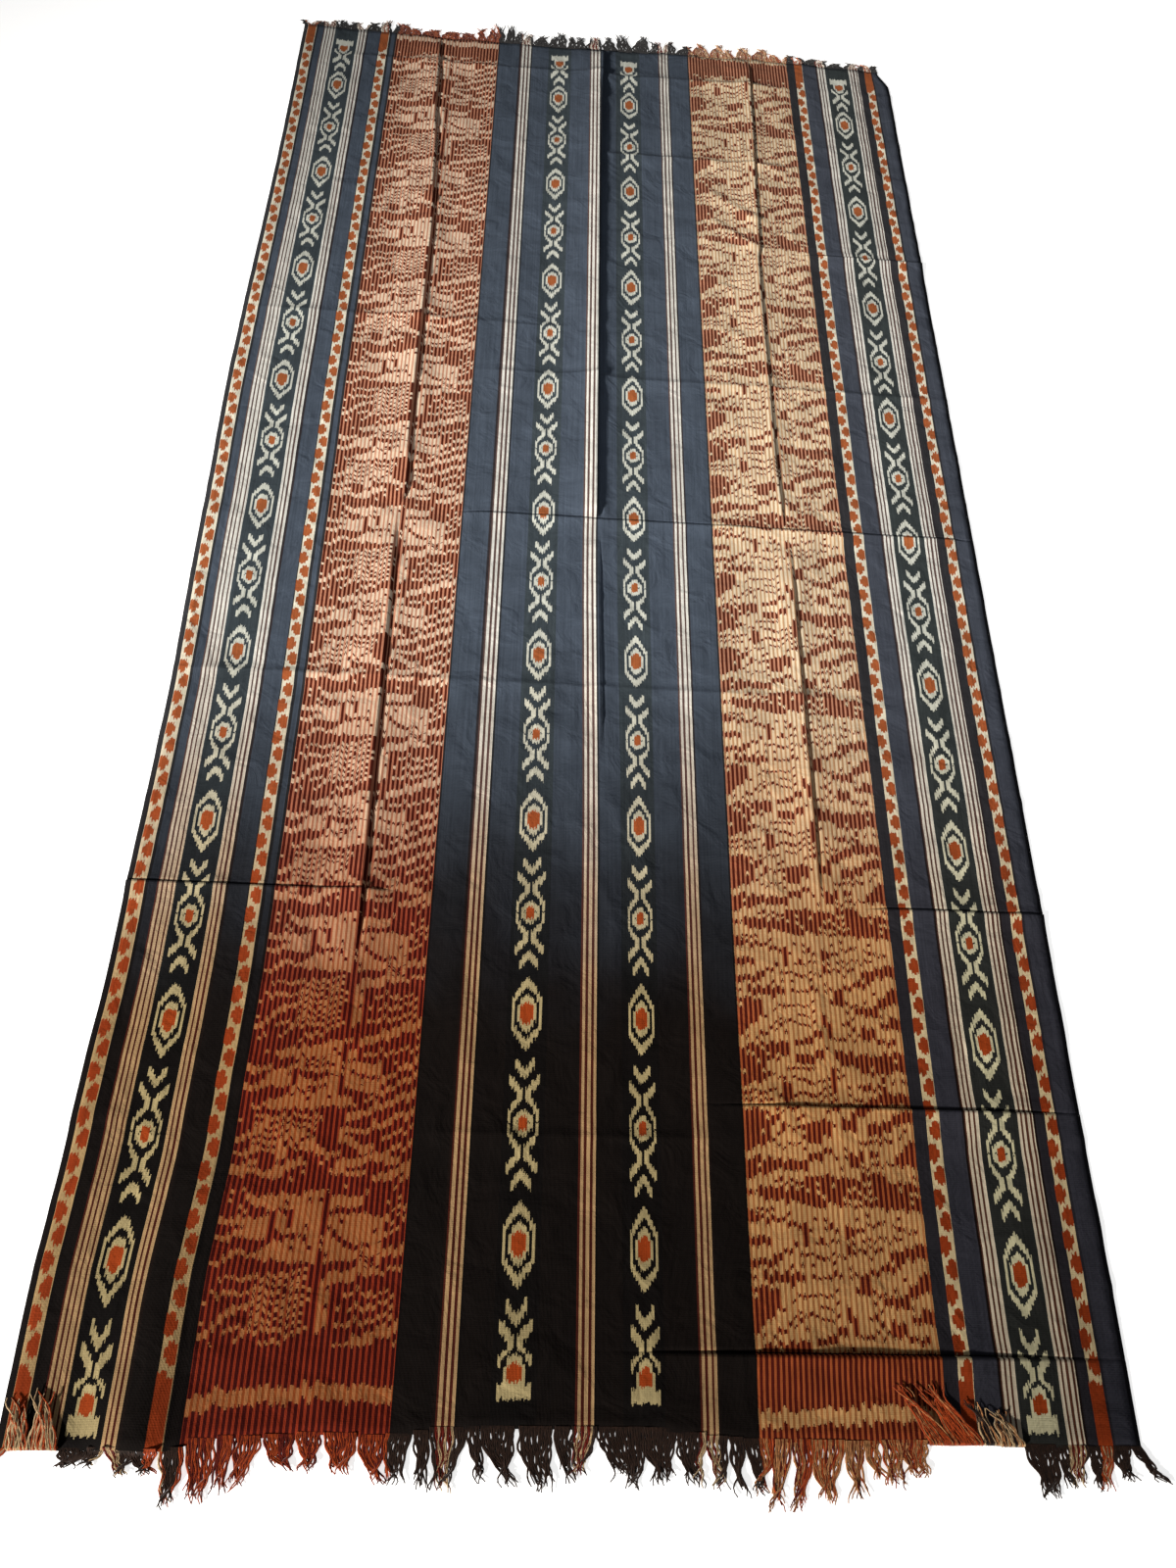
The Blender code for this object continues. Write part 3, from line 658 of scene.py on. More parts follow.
def weave(tree, colour, flat, across, along):
    """Finishes a material as warp-faced plain weave: streaks of thicker and thinner dyed thread,
    fine ribs and a soft matt nap. The ribs are drawn at 1.3 mm, coarser than the real 0.5 mm."""
    stretched = add(tree, "Mapping", {0: flat, 3: (1.0 / STREAK_SIZE, 1.0 / STREAK_LENGTH, 1.0)})[0]
    streaks = add(tree, "TexNoise", {"Vector": stretched, "Scale": 1.0, "Detail": 4.0, "Roughness": 0.6})
    blotches = add(tree, "TexNoise", {"Vector": flat, "Scale": BLOTCHES_PER_METRE, "Detail": 5.0,
                                      "Roughness": 0.6})
    tone = add(tree, "MapRange", (streaks["Fac"], 0.30, 0.70, 0.80, 1.20))[0]
    cloud = add(tree, "MapRange", (blotches["Fac"], 0.30, 0.70, 0.88, 1.12))[0]
    tone = add(tree, "Math", (tone, cloud), "MULTIPLY")[0]
    shaded = add(tree, "VectorMath", {0: colour, "Scale": tone}, "SCALE")[0]
    warp_rib = add(tree, "Math", (across, math.tau / THREAD_WIDTH), "MULTIPLY")[0]
    warp_rib = add(tree, "Math", (warp_rib,), "SINE")[0]
    weft_rib = add(tree, "Math", (along, math.tau / WEFT_SPACING), "MULTIPLY")[0]
    weft_rib = add(tree, "Math", (weft_rib,), "SINE")[0]
    rib = add(tree, "Math", (weft_rib, 0.4, warp_rib), "MULTIPLY_ADD")[0]
    height = add(tree, "Math", (streaks["Fac"], 2.0, rib), "MULTIPLY_ADD")[0]
    bump = add(tree, "Bump", {"Height": height, "Strength": 0.35, "Distance": 0.0003})["Normal"]
    rumple = add(tree, "TexNoise", {"Vector": flat, "Scale": RUMPLES_PER_METRE, "Detail": 4.0,
                                    "Distortion": 0.8})["Fac"]
    bump = add(tree, "Bump", {"Height": rumple, "Strength": 0.7, "Distance": 0.006,
                              "Normal": bump})["Normal"]
    fill(tree, tree.nodes["Principled BSDF"],
         {"Roughness": 0.85, "Specular IOR Level": 0.08, "Sheen Weight": 0.02, "Sheen Roughness": 0.45,
          "Sheen Tint": linear("c4cede"), "Base Color": shaded, "Normal": bump})


def striped_cotton(name, start_mm, end_mm, figures, dashed):
    """The cotton of one stretch of the warp: stripes, with its figure columns and dashed stripes."""
    material, tree, flat, across, along, slipped, faded = cotton(name)
    colour = striped_warp(tree, across, faded, start_mm, end_mm)
    for column in figures:
        colour = figure_column(tree, colour, across, slipped, faded, column)
    for stripe_mm, shift_mm in dashed:
        colour = dashed_stripe(tree, colour, across, slipped, faded, stripe_mm, shift_mm)
    weave(tree, colour, flat, across, along)
    return material


# The two broad bands are ikat: every second stripe of the warp is a bundle that was tied and dyed
# before weaving, maroon with cream figures, and the brick red lines between the bundles are plain.
# A stroke is one tied shape: a row of stretches that runs from one bundle to another.
LEFT_BAND_MM = (181, 375)
RIGHT_BAND_MM = (749, 947)
BAND_BUNDLES = 33
BAND_PITCH = 0.0059
BAND_REPEAT_MM = 321
BAND_REPEAT_START = 0.885
BAND_END_MM = 84.0
BAND_FAR_END = CLOTH_LENGTH + 0.022
BAR_HALF_MM = 7.5
BAR_STAGGER_MM = 7.0
BAR_SLOPE_MM = 0.35
BAR_RISE_MM = 6.0
BUNDLE_SLIP_MM = 3.0
BUNDLE_FROM = 0.22
BUNDLE_TO = 0.78
TIE_UNEVENNESS_MM = 1.6
SHORTEST_TIE_MM = 3
TIE_ROW_MM = 9.0
PLAIN_AROUND_MM = 7
CHANGES_PER_RAMP = 30
CREAM_TIES = 0.30
MAROON_TIES = 0.22
BandDyes = namedtuple("BandDyes", "maroon brick cream tan")
# Each band dye has a near tone with painted shade and a later one with painted sheen; the right band's
# lighter near tones are also a painted warm reflection on the near right corner
LEFT_DYES = BandDyes(Dye("320301", "491c10"), Dye("742510", "b0765b"), Dye("8b5934", "cfbca4"),
                     Dye("793b18", "b6836a"))
RIGHT_DYES = BandDyes(Dye("420e06", "4e2114"), Dye("8c4522", "ae7a60"), Dye("b08858", "d0c1a6"),
                      Dye("925f36", "b18d69"))
Stroke = namedtuple("Stroke", "tied first last first_mm last_mm first_thick last_thick times apart",
                    defaults=(1, 0))


def strokes_in_order(groups):
    """The strokes in the order that they were tied, from runs of strokes of one colour."""
    return [Stroke(int(colour == "cream"), *row) for colour, *rows in groups for row in rows]


# The figures of the left band: cream bodies on maroon, then maroon details back over them, and last
# a painted shadow of the crease down bundle 18
LEFT_BAND = strokes_in_order((
    ("cream", (0, 8, 10, 9, 9, 7), (18, 24, 12, 14, 5, 6), (26, 32, 9, 10, 8, 12),
     (4, 17, 302, 303, 10, 16), (8, 17, 284, 284, 30, 34), (3, 8, 273, 276, 16, 26),
     (0, 3, 279, 281, 6, 6), (0, 4, 262, 266, 6, 6), (5, 17, 250, 254, 8, 34), (0, 7, 236, 256, 6, 8)),
    ("maroon", (4, 7, 297, 289, 4, 4), (9, 9, 279, 279, 28, 28), (10, 12, 291, 291, 3, 4),
     (12, 12, 280, 280, 14, 14), (10, 11, 268, 268, 4, 4), (1, 4, 271, 272, 6, 5),
     (4, 8, 253, 258, 8, 10), (13, 15, 270, 262, 4, 4)),
    ("cream", (8, 16, 173, 180, 4, 4, 7, 8.6), (2, 8, 222, 226, 4, 4), (2, 8, 207, 212, 4, 4),
     (0, 5, 168, 194, 8, 8), (5, 9, 196, 200, 5, 5), (5, 9, 160, 187, 5, 5), (9, 16, 158, 172, 5, 5),
     (5, 17, 141, 147, 8, 19), (9, 17, 126, 127, 14, 20), (4, 9, 113, 113, 18, 26),
     (0, 4, 121, 121, 7, 6), (0, 4, 100, 103, 9, 7), (5, 17, 84, 92, 12, 22),
     (8, 17, 107, 106, 10, 16)),
    ("maroon", (9, 9, 116, 116, 20, 20), (11, 15, 120, 118, 4, 4, 2, 9), (12, 14, 103, 104, 4, 5),
     (5, 8, 99, 101, 5, 5), (6, 8, 130, 132, 4, 5)),
    ("cream", (3, 14, 33, 38, 4, 4, 5, 8.6), (0, 5, 42, 61, 7, 7), (8, 11, 34, 50, 24, 16),
     (11, 17, 50, 26, 9, 8), (0, 4, 14, 19, 5, 5, 2, 13), (8, 12, 10, 22, 13, 8)),
    ("maroon", (9, 10, 44, 44, 4, 4)),
    ("cream", (18, 24, 302, 304, 14, 10), (18, 29, 278, 277, 36, 22), (28, 32, 267, 283, 5, 5),
     (30, 32, 292, 294, 4, 5), (18, 28, 250, 258, 26, 12), (24, 32, 240, 254, 7, 9)),
    ("maroon", (19, 24, 291, 297, 5, 6), (20, 24, 268, 257, 6, 6), (29, 30, 276, 276, 8, 6),
     (19, 27, 238, 246, 5, 5)),
    ("cream", (20, 28, 226, 236, 14, 8), (18, 20, 196, 200, 62, 40), (24, 31, 214, 210, 4, 4),
     (24, 31, 198, 202, 4, 4), (22, 31, 182, 190, 5, 5), (21, 32, 157, 178, 10, 12),
     (18, 20, 141, 141, 16, 10), (22, 32, 143, 149, 4, 5), (18, 25, 118, 116, 30, 34)),
    ("maroon", (20, 24, 121, 117, 4, 6), (22, 25, 107, 113, 5, 5)),
    ("cream", (22, 32, 104, 134, 7, 9), (23, 32, 92, 118, 6, 7), (18, 20, 88, 88, 16, 10),
     (20, 32, 71, 98, 8, 9), (22, 32, 55, 78, 7, 8), (20, 32, 47, 18, 9, 9), (18, 22, 50, 56, 18, 9),
     (18, 26, 18, 30, 7, 8), (27, 32, 50, 60, 4, 5), (28, 32, 36, 42, 5, 7)),
    # In this last group the four strokes down bundle 18 are painted shadow of the lengthwise crease that
    # runs through the band; only the first stroke is a figure detail
    ("maroon", (20, 22, 52, 52, 4, 4), (18, 18, 214, 214, 192, 192), (18, 18, 270, 270, 56, 56),
     (18, 18, 110, 110, 40, 40), (18, 18, 34, 34, 52, 52)),
))
# The figures of the right band: cream ground, with maroon blocks and rows of dashes, and last a
# painted shadow of the crease down bundles 17 to 19
RIGHT_BAND = strokes_in_order((
    ("maroon", (2, 17, 320, 318, 14, 18), (18, 32, 318, 316, 18, 26)),
    ("cream", (19, 24, 314, 318, 4, 6)),
    ("maroon", (0, 4, 302, 303, 4, 5), (0, 7, 295, 291, 8, 6), (8, 8, 286, 286, 6, 6),
     (10, 10, 277, 277, 26, 26), (9, 9, 286, 286, 8, 8), (13, 13, 275, 275, 8, 8),
     (15, 16, 286, 284, 8, 6), (0, 3, 270, 270, 10, 8), (4, 8, 252, 266, 6, 6),
     (0, 4, 247, 248, 9, 6), (2, 9, 233, 234, 11, 10), (11, 16, 236, 237, 4, 5),
     (9, 16, 258, 256, 3, 3), (12, 16, 270, 272, 3, 3), (12, 15, 218, 219, 3, 3, 3, -12),
     (7, 11, 214, 216, 3, 3, 2, -18), (0, 4, 202, 212, 46, 22), (4, 8, 180, 190, 5, 4),
     (11, 16, 171, 182, 6, 12), (0, 4, 141, 146, 46, 44), (4, 9, 158, 164, 22, 18),
     (11, 16, 152, 156, 10, 12), (4, 8, 136, 128, 5, 4), (9, 14, 140, 142, 3, 3),
     (8, 9, 111, 112, 26, 22), (0, 4, 110, 110, 5, 5, 2, -8), (10, 15, 130, 124, 4, 4),
     (12, 15, 112, 110, 4, 4, 2, -10), (5, 7, 116, 110, 4, 4), (0, 4, 68, 72, 46, 38),
     (4, 7, 82, 78, 14, 6), (6, 10, 90, 94, 4, 4), (7, 9, 72, 70, 4, 4), (11, 16, 68, 72, 14, 20),
     (12, 14, 69, 70, 22, 24), (12, 16, 41, 46, 9, 7), (0, 4, 27, 30, 22, 18),
     (4, 11, 31, 30, 10, 12), (6, 10, 50, 54, 4, 4), (5, 10, 14, 12, 4, 4), (11, 17, 10, 8, 26, 24),
     (0, 11, 1, 1, 6, 7), (26, 32, 255, 262, 14, 16), (20, 27, 236, 247, 7, 8),
     (20, 21, 229, 229, 16, 14), (28, 32, 214, 230, 10, 22), (24, 28, 210, 211, 11, 12),
     (19, 24, 222, 216, 4, 4), (25, 27, 184, 184, 18, 14), (29, 32, 192, 196, 8, 16),
     (21, 23, 196, 190, 4, 7), (28, 31, 174, 172, 5, 9), (19, 22, 176, 180, 4, 4),
     (20, 32, 152, 148, 14, 22), (24, 29, 144, 142, 20, 20), (28, 28, 132, 132, 14, 14),
     (19, 22, 158, 158, 12, 8), (24, 28, 117, 120, 8, 6), (27, 32, 106, 104, 12, 14),
     (21, 28, 85, 110, 13, 14), (24, 32, 68, 86, 12, 14), (19, 21, 76, 76, 14, 10),
     (19, 23, 100, 104, 4, 4), (29, 32, 36, 44, 10, 30), (20, 22, 39, 37, 16, 14),
     (23, 28, 56, 60, 4, 5), (24, 25, 42, 42, 6, 5), (22, 28, 28, 34, 4, 4), (18, 32, 9, 4, 20, 16),
     (22, 26, 18, 19, 8, 8), (20, 25, 285, 290, 4, 4), (27, 31, 288, 280, 5, 5),
     # The last four strokes, on bundles 17 to 19, are painted shadow of the lengthwise crease that runs
     # through the band
     (20, 24, 264, 262, 3, 3), (22, 28, 272, 276, 3, 3), (18, 19, 272, 272, 34, 30),
     (18, 18, 108, 108, 38, 38), (17, 18, 200, 186, 16, 22), (18, 18, 132, 132, 20, 20)),
))


def tied_warp(strokes, ground, seed):
    """Which millimetres of every bundle of a band stay cream, from the strokes tied into it. Whole
    bundles slipped a little against each other, and a stroke's ends differ as hand-tied ones do.
    Small single ties break up the long plain stretches."""
    chance = random.Random(seed)
    tied = np.full((BAND_BUNDLES, BAND_REPEAT_MM), ground)
    slips = [chance.uniform(-BUNDLE_SLIP_MM, BUNDLE_SLIP_MM) for _ in range(BAND_BUNDLES)]
    for stroke in strokes:
        for bundle in range(stroke.first, stroke.last + 1):
            share = (bundle - stroke.first) / max(stroke.last - stroke.first, 1)
            middle = stroke.first_mm + (stroke.last_mm - stroke.first_mm) * share + slips[bundle]
            thick = stroke.first_thick + (stroke.last_thick - stroke.first_thick) * share
            for time in range(stroke.times):
                start, stop = (round(middle + time * stroke.apart + side * thick / 2
                                     + chance.uniform(-TIE_UNEVENNESS_MM, TIE_UNEVENNESS_MM))
                               for side in (-1, 1))
                for mm in range(start, max(stop, start + SHORTEST_TIE_MM)):
                    tied[bundle, mm % BAND_REPEAT_MM] = stroke.tied
    for bundle in range(BAND_BUNDLES):
        for row in range(round(BAND_REPEAT_MM / TIE_ROW_MM)):
            middle = round((row + 0.5 * (bundle % 2)) * TIE_ROW_MM + slips[bundle])
            nearby = range(middle - PLAIN_AROUND_MM, middle + PLAIN_AROUND_MM + 1)
            around = tied[bundle, [mm % BAND_REPEAT_MM for mm in nearby]]
            if around.min() != around.max():
                continue
            if chance.random() < (CREAM_TIES if around[0] else MAROON_TIES):
                for mm in range(middle - 2, middle + 2):
                    tied[bundle, mm % BAND_REPEAT_MM] = 1 - around[0]
    return tied


def band_bundle(tree, turn, in_later_half, tied):
    """One bundle of an ikat band: 1 where it was tied and is cream. Each half of the repeat has a
    ramp, as a ramp holds 32 stretches, and the shortest stretches beyond those are left out."""
    halves = []
    for first, last in ((0, len(tied) // 2), (len(tied) // 2, len(tied))):
        changes = [mm for mm in range(first + 1, last) if tied[mm] != tied[mm - 1]]
        while len(changes) > CHANGES_PER_RAMP:
            gaps = [(later - earlier, earlier, later) for earlier, later in zip(changes, changes[1:])]
            changes = [mm for mm in changes if mm not in min(gaps)[1:]]
        stops = [(0.0, (0.0, 0.0, 0.0, float(tied[first])))]
        for mm in changes:
            stops.append(((mm - first) / (last - first), (0.0, 0.0, 0.0, 1.0 - stops[-1][1][3])))
        half = add(tree, "ValToRGB", (turn,))
        fill_ramp(half[0].node.color_ramp, stops)
        halves.append(half["Alpha"])
    return add(tree, "Mix", {0: in_later_half, 2: halves[0], 3: halves[1]})[0]


def ikat_cotton(name, start_mm, strokes, ground, bar_mm, dyes, seed):
    """The cotton of one ikat band: its figures along the cloth, and past them at each end a plain
    stretch with one cream bar, whose bundles slipped against each other."""
    material, tree, flat, across, along, slipped, faded = cotton(name)
    pitches = add(tree, "Math", (across, 1.0 / BAND_PITCH, -start_mm / 1000 / BAND_PITCH),
                  "MULTIPLY_ADD")[0]
    number = add(tree, "Math", (pitches,), "FLOOR")[0]
    inside = add(tree, "Math", (pitches,), "FRACT")[0]
    turn = through_repeat(tree, slipped, BAND_REPEAT_MM, -BAND_REPEAT_START * 1000 / BAND_REPEAT_MM)
    in_later_half = add(tree, "Math", (turn, 0.5), "GREATER_THAN")[0]
    half_turn = add(tree, "Math", (turn, 2.0), "MULTIPLY")[0]
    half_turn = add(tree, "Math", (half_turn,), "FRACT")[0]
    tied = tied_warp(strokes, ground, seed)
    value = pick_bundle(tree, number, [band_bundle(tree, half_turn, in_later_half, row) for row in tied])
    from_end = from_nearer_end(tree, slipped, BAND_FAR_END)
    bar = add(tree, "Math", (number, BAR_SLOPE_MM, bar_mm), "MULTIPLY_ADD")[0]
    bar = add(tree, "Math", (bar, bar_mm + BAR_RISE_MM), "MINIMUM")[0]
    off = add(tree, "Math", (from_end, 1000.0), "MULTIPLY")[0]
    off = add(tree, "Math", (off, bar), "SUBTRACT")[0]
    stagger = add(tree, "TexWhiteNoise", {"W": number}, noise_dimensions="1D")["Value"]
    off = add(tree, "Math", (stagger, BAR_STAGGER_MM, off), "MULTIPLY_ADD")[0]
    off = add(tree, "Math", (off,), "ABSOLUTE")[0]
    barred = add(tree, "Math", (off, BAR_HALF_MM), "LESS_THAN")[0]
    beyond = add(tree, "Math", (from_end, BAND_END_MM / 1000), "GREATER_THAN")[0]
    value = add(tree, "Mix", {0: beyond, 2: barred, 3: value})[0]
    thread = dyed_by_share(tree, value, faded, dyes.maroon, dyes.cream)
    line = dyed_by_share(tree, value, faded, dyes.brick, dyes.tan)
    late = add(tree, "Math", (inside, BUNDLE_FROM), "GREATER_THAN")[0]
    early = add(tree, "Math", (inside, BUNDLE_TO), "LESS_THAN")[0]
    on_thread = add(tree, "Math", (late, early), "MULTIPLY")[0]
    colour = add(tree, "Mix", {0: on_thread, 6: line, 7: thread}, data_type="RGBA")[2]
    weave(tree, colour, flat, across, along)
    return material


# Six stretches of the warp across the sheet, each with where it starts and ends in millimetres
PARTS_OF_WARP = (
    (0, 181, striped_cotton("selvedge stripes of indigo cotton", 0, 181, LEFT_FIGURES,
                            ((7.5, 0), (149.7, 6)))),
    (*LEFT_BAND_MM, ikat_cotton("red ikat cotton", 180.5, LEFT_BAND, 0, 38, LEFT_DYES, "left")),
    (375, 545, striped_cotton("inner stripes of indigo cotton", 374, 545, MIDDLE_LEFT_FIGURES, ())),
    (545, 749, striped_cotton("middle stripes of indigo cotton", 545, 750, MIDDLE_RIGHT_FIGURES, ())),
    (*RIGHT_BAND_MM, ikat_cotton("cream ikat cotton", 750.5, RIGHT_BAND, 1, 24, RIGHT_DYES, "right")),
    (947, 1150, striped_cotton("border stripes of indigo cotton", 947, 1150, RIGHT_FIGURES,
                               ((962.6, 17), (1104.4, 8)))),
)


def make_sheet():
    """The woven sheet as one grid, laid in place with its flat place kept as a UV map."""
    lengthwise = [LENGTHWISE[name] for name in ("middle_far", "left_far", "right_far")]
    borders = [part[1] / 1000 for part in PARTS_OF_WARP[:-1]]
    columns = mesh_lines([(crease.start_u, -crease.groove) for crease in lengthwise], borders,
                         WRINKLES_U, CLOTH_WIDTH)
    rows = mesh_lines([(crease.start_v, crease.groove) for crease in CROSSWISE.values()], [],
                      WRINKLES_V, CLOTH_LENGTH)
    grid = bmesh.new()
    bmesh.ops.create_grid(grid, x_segments=len(columns) - 1, y_segments=len(rows) - 1, size=0.5)
    flat = grid.loops.layers.uv.new("flat cloth")
    spots = {}
    for vert in grid.verts:
        column = columns[round((vert.co.x + 0.5) * (len(columns) - 1))]
        v = rows[round((vert.co.y + 0.5) * (len(rows) - 1))]
        u = column + crest_shift(column, v)
        spots[vert] = (u, v)
        vert.co = laid(u, v)
    for face in grid.faces:
        for loop in face.loops:
            loop[flat].uv = spots[loop.vert]
        middle_mm = 1000 * sum(spots[vert][0] for vert in face.verts) / 4
        face.material_index = sum(middle_mm > part[1] for part in PARTS_OF_WARP[:-1])
    sheet = finish_mesh("ikat_sheet", grid, [part[2] for part in PARTS_OF_WARP])
    shell = sheet.modifiers.new("weave thickness", "SOLIDIFY")
    shell.thickness = CLOTH_THICKNESS
    shell.offset = 1.0
    return sheet


ikat_sheet = make_sheet()
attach(ikat_sheet, "root")
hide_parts("cloth")


# The fringes: the warp's own ends, left unwoven past both ends of the cloth and gathered into loosely
# twisted locks of uneven width. Every strand is one closed tube of cotton, drawn thicker than the
# real yarn and dyed like the stripe it comes from. Stretches of the near fringe lie folded back.

# How far the locks reach past the weave, and how far they lean to the right, across the cloth
Reach = namedtuple("Reach", "u reach lean")
NEAR_REACH = tuple(Reach(*row) for row in (
    (0.00, 0.034, -0.010), (0.03, 0.036, -0.004), (0.14, 0.034, 0.002), (0.18, 0.062, 0.000),
    (0.24, 0.050, 0.002), (0.29, 0.030, 0.004), (0.36, 0.042, 0.004), (0.42, 0.052, 0.003),
    (0.50, 0.050, 0.005), (0.56, 0.044, 0.003), (0.63, 0.056, 0.002), (0.70, 0.058, -0.002),
    (0.78, 0.060, 0.000), (0.86, 0.054, 0.002), (0.96, 0.034, 0.004), (1.06, 0.050, 0.005),
    (1.12, 0.044, 0.008), (1.15, 0.044, 0.012),
))
FAR_REACH = tuple(Reach(*row) for row in (
    (0.00, 0.026, -0.008), (0.10, 0.030, -0.002), (0.16, 0.048, 0.003), (0.22, 0.022, 0.002),
    (0.30, 0.026, 0.002), (0.385, 0.062, 0.002), (0.43, 0.044, 0.003), (0.53, 0.056, 0.002),
    (0.60, 0.048, 0.002), (0.63, 0.062, 0.000), (0.74, 0.054, 0.002), (0.86, 0.056, 0.000),
    (0.95, 0.050, 0.001), (1.02, 0.030, 0.002), (1.15, 0.030, 0.002),
))
FoldedBack = namedtuple("FoldedBack", "from_u to_u length lean yarns")
FOLDED_BACK = (FoldedBack(0.010, 0.062, 0.052, -0.010, (1, 1, 3)),
               FoldedBack(0.915, 0.985, 0.060, -0.040, (3, 3, 3, 4)),
               FoldedBack(0.985, 1.035, 0.044, -0.014, (0, 1, 4)))
LOCK_WIDTHS = (0.015, 0.036)
CORNER_LOCK_WIDTH = 0.012
STRAND_PITCH = 0.00135
STRAND_RADIUS = 0.00125
STRAND_STEPS = 14
STRAND_ENDS = (0.72, 1.0)
STRAND_FRAY = 0.0095
STRAND_WOBBLE = (0.0005, 0.0020)
STRAND_WOBBLE_TURN = 14.0
TIP_THINNING = 0.55
LONGEST_REACH = 0.062
KEPT_AT_FULL_REACH = 0.96
REACH_VARIATION = 0.34
LEAN_VARIATION = 0.009
LOCK_WAVE = 0.0024
LOCK_WAVE_TURN = 3.6
LEAN_CURVE = 1.4
CORNER_LOCK_X = 0.596
FOLD_RADIUS = 0.0022
FOLD_SHARE = 0.15
GATHERS_FROM = 0.18
GATHERED_BY = 0.75
LOCK_RADIUS = 0.0032
LOCK_FLATNESS = 0.6
LOCK_TURNS = (1.2, 2.6)
LOCK_TIGHTNESS = (0.42, 0.95)
LOCK_FILLS = 0.96
ROOT_INSIDE = 0.003
# Each yarn has a darker, warmer near tone with painted shade and a lighter tone with painted sheen
Yarn = namedtuple("Yarn", "name near faded")
YARNS = (
    Yarn("black warp yarn", "281911", "2b2a2b"),
    Yarn("ivory warp yarn", "a58c69", "cfc6b8"),
    Yarn("maroon warp yarn", "5a1407", "6b2415"),
    Yarn("brick warp yarn", "943a12", "a25736"),
    Yarn("tan warp yarn", "a06e44", "bd9a78"),
)
# Where the yarn's painted shade at the near end gives way to its painted sheen, along the cloth
YARN_SHEEN_LIT_FROM_Y = -0.9
YARN_SHEEN_LIT_TO_Y = 0.0
YARN_PATCHES_PER_METRE = 260.0
# The yarn of each light dye, by its place among the yarns. All other stripes end in black yarn
LIGHT_YARNS = {"ivory": 1, "border ivory": 1, "madder line": 2, "border line": 2}


def yarn_material(yarn):
    """Twisted cotton yarn: its dye, darker and warmer with painted shade at the near end and lighter
    with painted sheen further on, in light and dark lengths.
    """
    material = bpy.data.materials.new(yarn.name)
    material.use_nodes = True
    tree = material.node_tree
    spot = add(tree, "TexCoord", {})["Object"]
    along = add(tree, "SeparateXYZ", (spot,))["Y"]
    faded = add(tree, "MapRange", (along, YARN_SHEEN_LIT_FROM_Y, YARN_SHEEN_LIT_TO_Y, 0.0, 1.0))[0]
    colour = dye_colour(tree, yarn, faded)
    patches = {"Vector": spot, "Scale": YARN_PATCHES_PER_METRE, "Detail": 3.0}
    patches = add(tree, "TexNoise", patches)["Fac"]
    tone = add(tree, "MapRange", (patches, 0.3, 0.7, 0.55, 1.25))[0]
    shaded = add(tree, "VectorMath", {0: colour, "Scale": tone}, "SCALE")[0]
    fill(tree, tree.nodes["Principled BSDF"],
         {"Roughness": 0.9, "Specular IOR Level": 0.1, "Sheen Weight": 0.15, "Sheen Roughness": 0.5,
          "Base Color": shaded})
    return material


def yarn_at(u, chance):
    """Which yarn grows out of the weave at a place across it."""
    mm = u * 1000
    if LEFT_BAND_MM[0] < mm < LEFT_BAND_MM[1]:
        return chance.choice((2, 2, 3, 3, 3))
    if RIGHT_BAND_MM[0] < mm < RIGHT_BAND_MM[1]:
        return chance.choice((2, 3, 3, 4, 4, 4))
    dye = [row.dye for row in WARP if row.start_mm <= max(mm, 0.0)][-1]
    if dye in ("dashed", "border dashed"):
        return chance.choice((1, 3, 3))
    return LIGHT_YARNS.get(dye, 0)


def lying_path(root, tip_y, lean, phase):
    """The middle line of a lock that lies on the surface, by how far along it a point is."""
    def at(share):
        wave = LOCK_WAVE * math.sin(phase + LOCK_WAVE_TURN * share) * math.sin(math.pi * share)
        drop = smooth(share / 0.3)
        return Vector((root.x + lean * share ** LEAN_CURVE + wave, root.y + (tip_y - root.y) * share,
                       root.z * (1.0 - drop) + LOCK_RADIUS * LOCK_FLATNESS * drop))
    return at


def folded_path(root, length, lean):
    """The middle line of a lock that turns up and over the end and lies back on the cloth."""
    def at(share):
        if share < FOLD_SHARE:
            angle = math.pi * share / FOLD_SHARE
            return Vector((root.x, root.y - FOLD_RADIUS * math.sin(angle),
                           root.z + FOLD_RADIUS * (1.0 - math.cos(angle))))
        back = (share - FOLD_SHARE) / (1.0 - FOLD_SHARE)
        x, y = root.x + lean * back, root.y + length * back
        surface = relief(x + CLOTH_WIDTH / 2, y + CLOTH_LENGTH / 2) + CLOTH_THICKNESS
        return Vector((x, y, max(surface + LOCK_RADIUS, root.z + 2 * FOLD_RADIUS * (1.0 - back))))
    return at


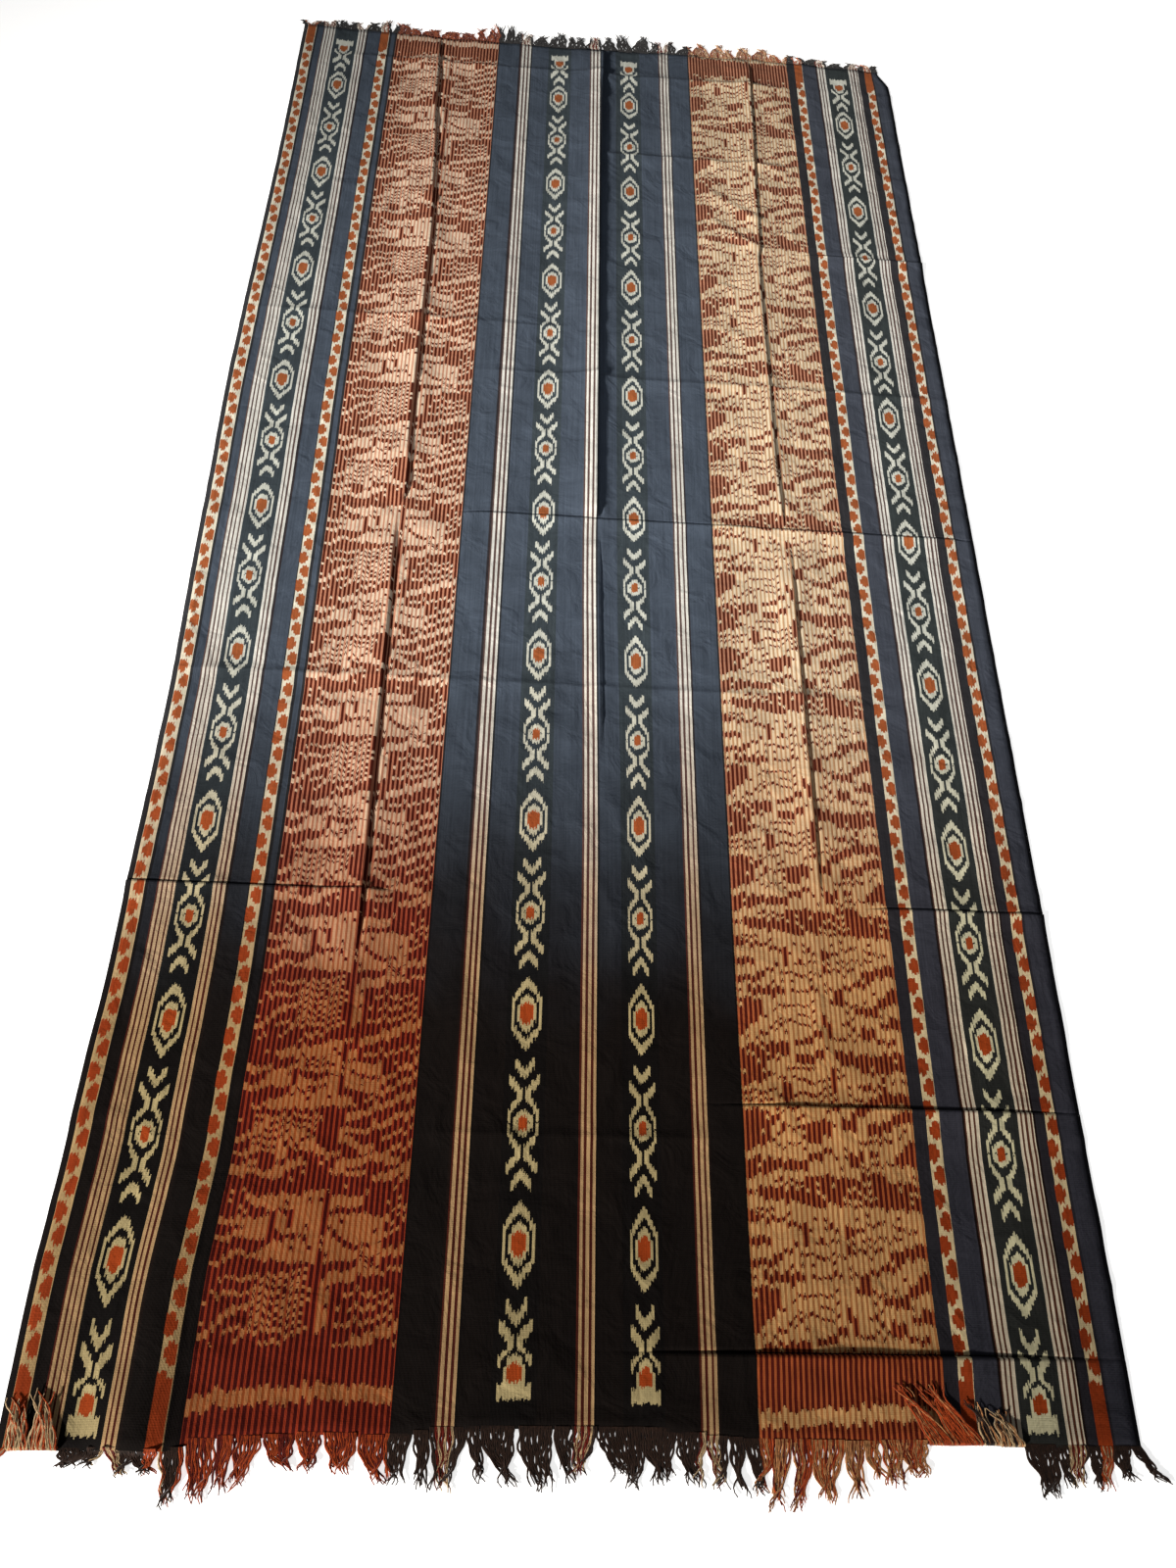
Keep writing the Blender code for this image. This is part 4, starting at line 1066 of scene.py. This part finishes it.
def twist_lock(curve, path, width, tightness, chance, yarns):
    """The strands of one lock: they leave the weave side by side, gather and wind round its middle
    line, and come apart again at the tip."""
    turns = chance.uniform(*LOCK_TURNS) * math.tau
    for index, yarn in enumerate(yarns):
        side = (index + 0.5) / len(yarns) - 0.5
        start_angle = math.tau * index / len(yarns)
        ends_at = chance.uniform(*STRAND_ENDS)
        frays = chance.uniform(-1.0, 1.0) * STRAND_FRAY
        wobble, wobble_phase = chance.uniform(*STRAND_WOBBLE), chance.uniform(0.0, math.tau)
        spline = curve.splines.new("POLY")
        spline.points.add(STRAND_STEPS - 1)
        spline.material_index = yarn
        for step, point in enumerate(spline.points):
            share = ends_at * step / (STRAND_STEPS - 1)
            middle = path(share)
            gathered = smooth((share - GATHERS_FROM) / GATHERED_BY) * tightness
            angle = start_angle + turns * share
            x = side * width * (1.0 - gathered) + LOCK_RADIUS * gathered * math.cos(angle)
            x += frays * smooth((share - 0.55) / 0.45)
            x += wobble * math.sin(wobble_phase + STRAND_WOBBLE_TURN * share) * smooth(share / 0.2)
            z = LOCK_RADIUS * LOCK_FLATNESS * gathered * math.sin(angle) * smooth((1.0 - share) / 0.3)
            height = max(middle.z + z, STRAND_RADIUS)
            point.co = (middle.x + x, middle.y, height, 1.0)
            point.radius = 1.0 - TIP_THINNING * smooth((share / ends_at - 0.6) / 0.4)


def make_fringe(name, v_end, outward, reaches, folded_back, corner_x, materials):
    """One fringe as a bundle of rounded curves, its locks where the sheet's end lies."""
    chance = random.Random(name)
    curve = bpy.data.curves.new(name, "CURVE")
    curve.dimensions = "3D"
    curve.bevel_depth = STRAND_RADIUS
    curve.bevel_resolution = 0
    curve.use_fill_caps = True
    for material in materials:
        curve.materials.append(material)
    longest = max(row.reach for row in reaches)
    edges = [0.0, CORNER_LOCK_WIDTH]
    while edges[-1] < CLOTH_WIDTH - CORNER_LOCK_WIDTH - LOCK_WIDTHS[1]:
        edges.append(edges[-1] + chance.uniform(*LOCK_WIDTHS))
    edges += [CLOTH_WIDTH - CORNER_LOCK_WIDTH, CLOTH_WIDTH]
    for left, right in zip(edges, edges[1:]):
        u = (left + right) / 2
        root = Vector(laid(u, v_end))
        root.z += CLOTH_THICKNESS / 2
        root.y -= outward * ROOT_INSIDE
        reach = between(reaches, "u", "reach", u)
        variation = 1.0 - REACH_VARIATION * chance.random()
        phase = chance.uniform(0.0, math.tau)
        tightness = chance.uniform(*LOCK_TIGHTNESS)
        strands = round((right - left) / STRAND_PITCH)
        yarns = [yarn_at(left + (right - left) * (index + 0.5) / strands, chance)
                 for index in range(strands)]
        folded = [row for row in folded_back if row.from_u < u < row.to_u]
        if folded:
            yarns = [chance.choice(folded[0].yarns) for _ in yarns]
            path = folded_path(root, folded[0].length * variation, folded[0].lean)
        else:
            if reach < KEPT_AT_FULL_REACH * longest:
                reach *= variation
            tip_y = outward * (CLOTH_LENGTH / 2 + min(reach, LONGEST_REACH))
            lean = between(reaches, "u", "lean", u) + chance.uniform(-1.0, 1.0) * LEAN_VARIATION
            if corner_x is not None and (left == 0.0 or right == CLOTH_WIDTH):
                lean = math.copysign(corner_x, root.x) - root.x
            path = lying_path(root, tip_y, lean, phase)
        twist_lock(curve, path, (right - left) * LOCK_FILLS, tightness, chance, yarns)
    piece = bpy.data.objects.new(name, curve)
    bpy.context.scene.collection.objects.link(piece)
    return piece


yarn_cottons = [yarn_material(yarn) for yarn in YARNS]
near_fringe = make_fringe("near_fringe", 0.0, -1, NEAR_REACH, FOLDED_BACK, CORNER_LOCK_X, yarn_cottons)
far_fringe = make_fringe("far_fringe", CLOTH_LENGTH, 1, FAR_REACH, (), None, yarn_cottons)
for fringe, node in ((near_fringe, "fringe_near"), (far_fringe, "fringe_far")):
    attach(fringe, "root")
    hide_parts(node)
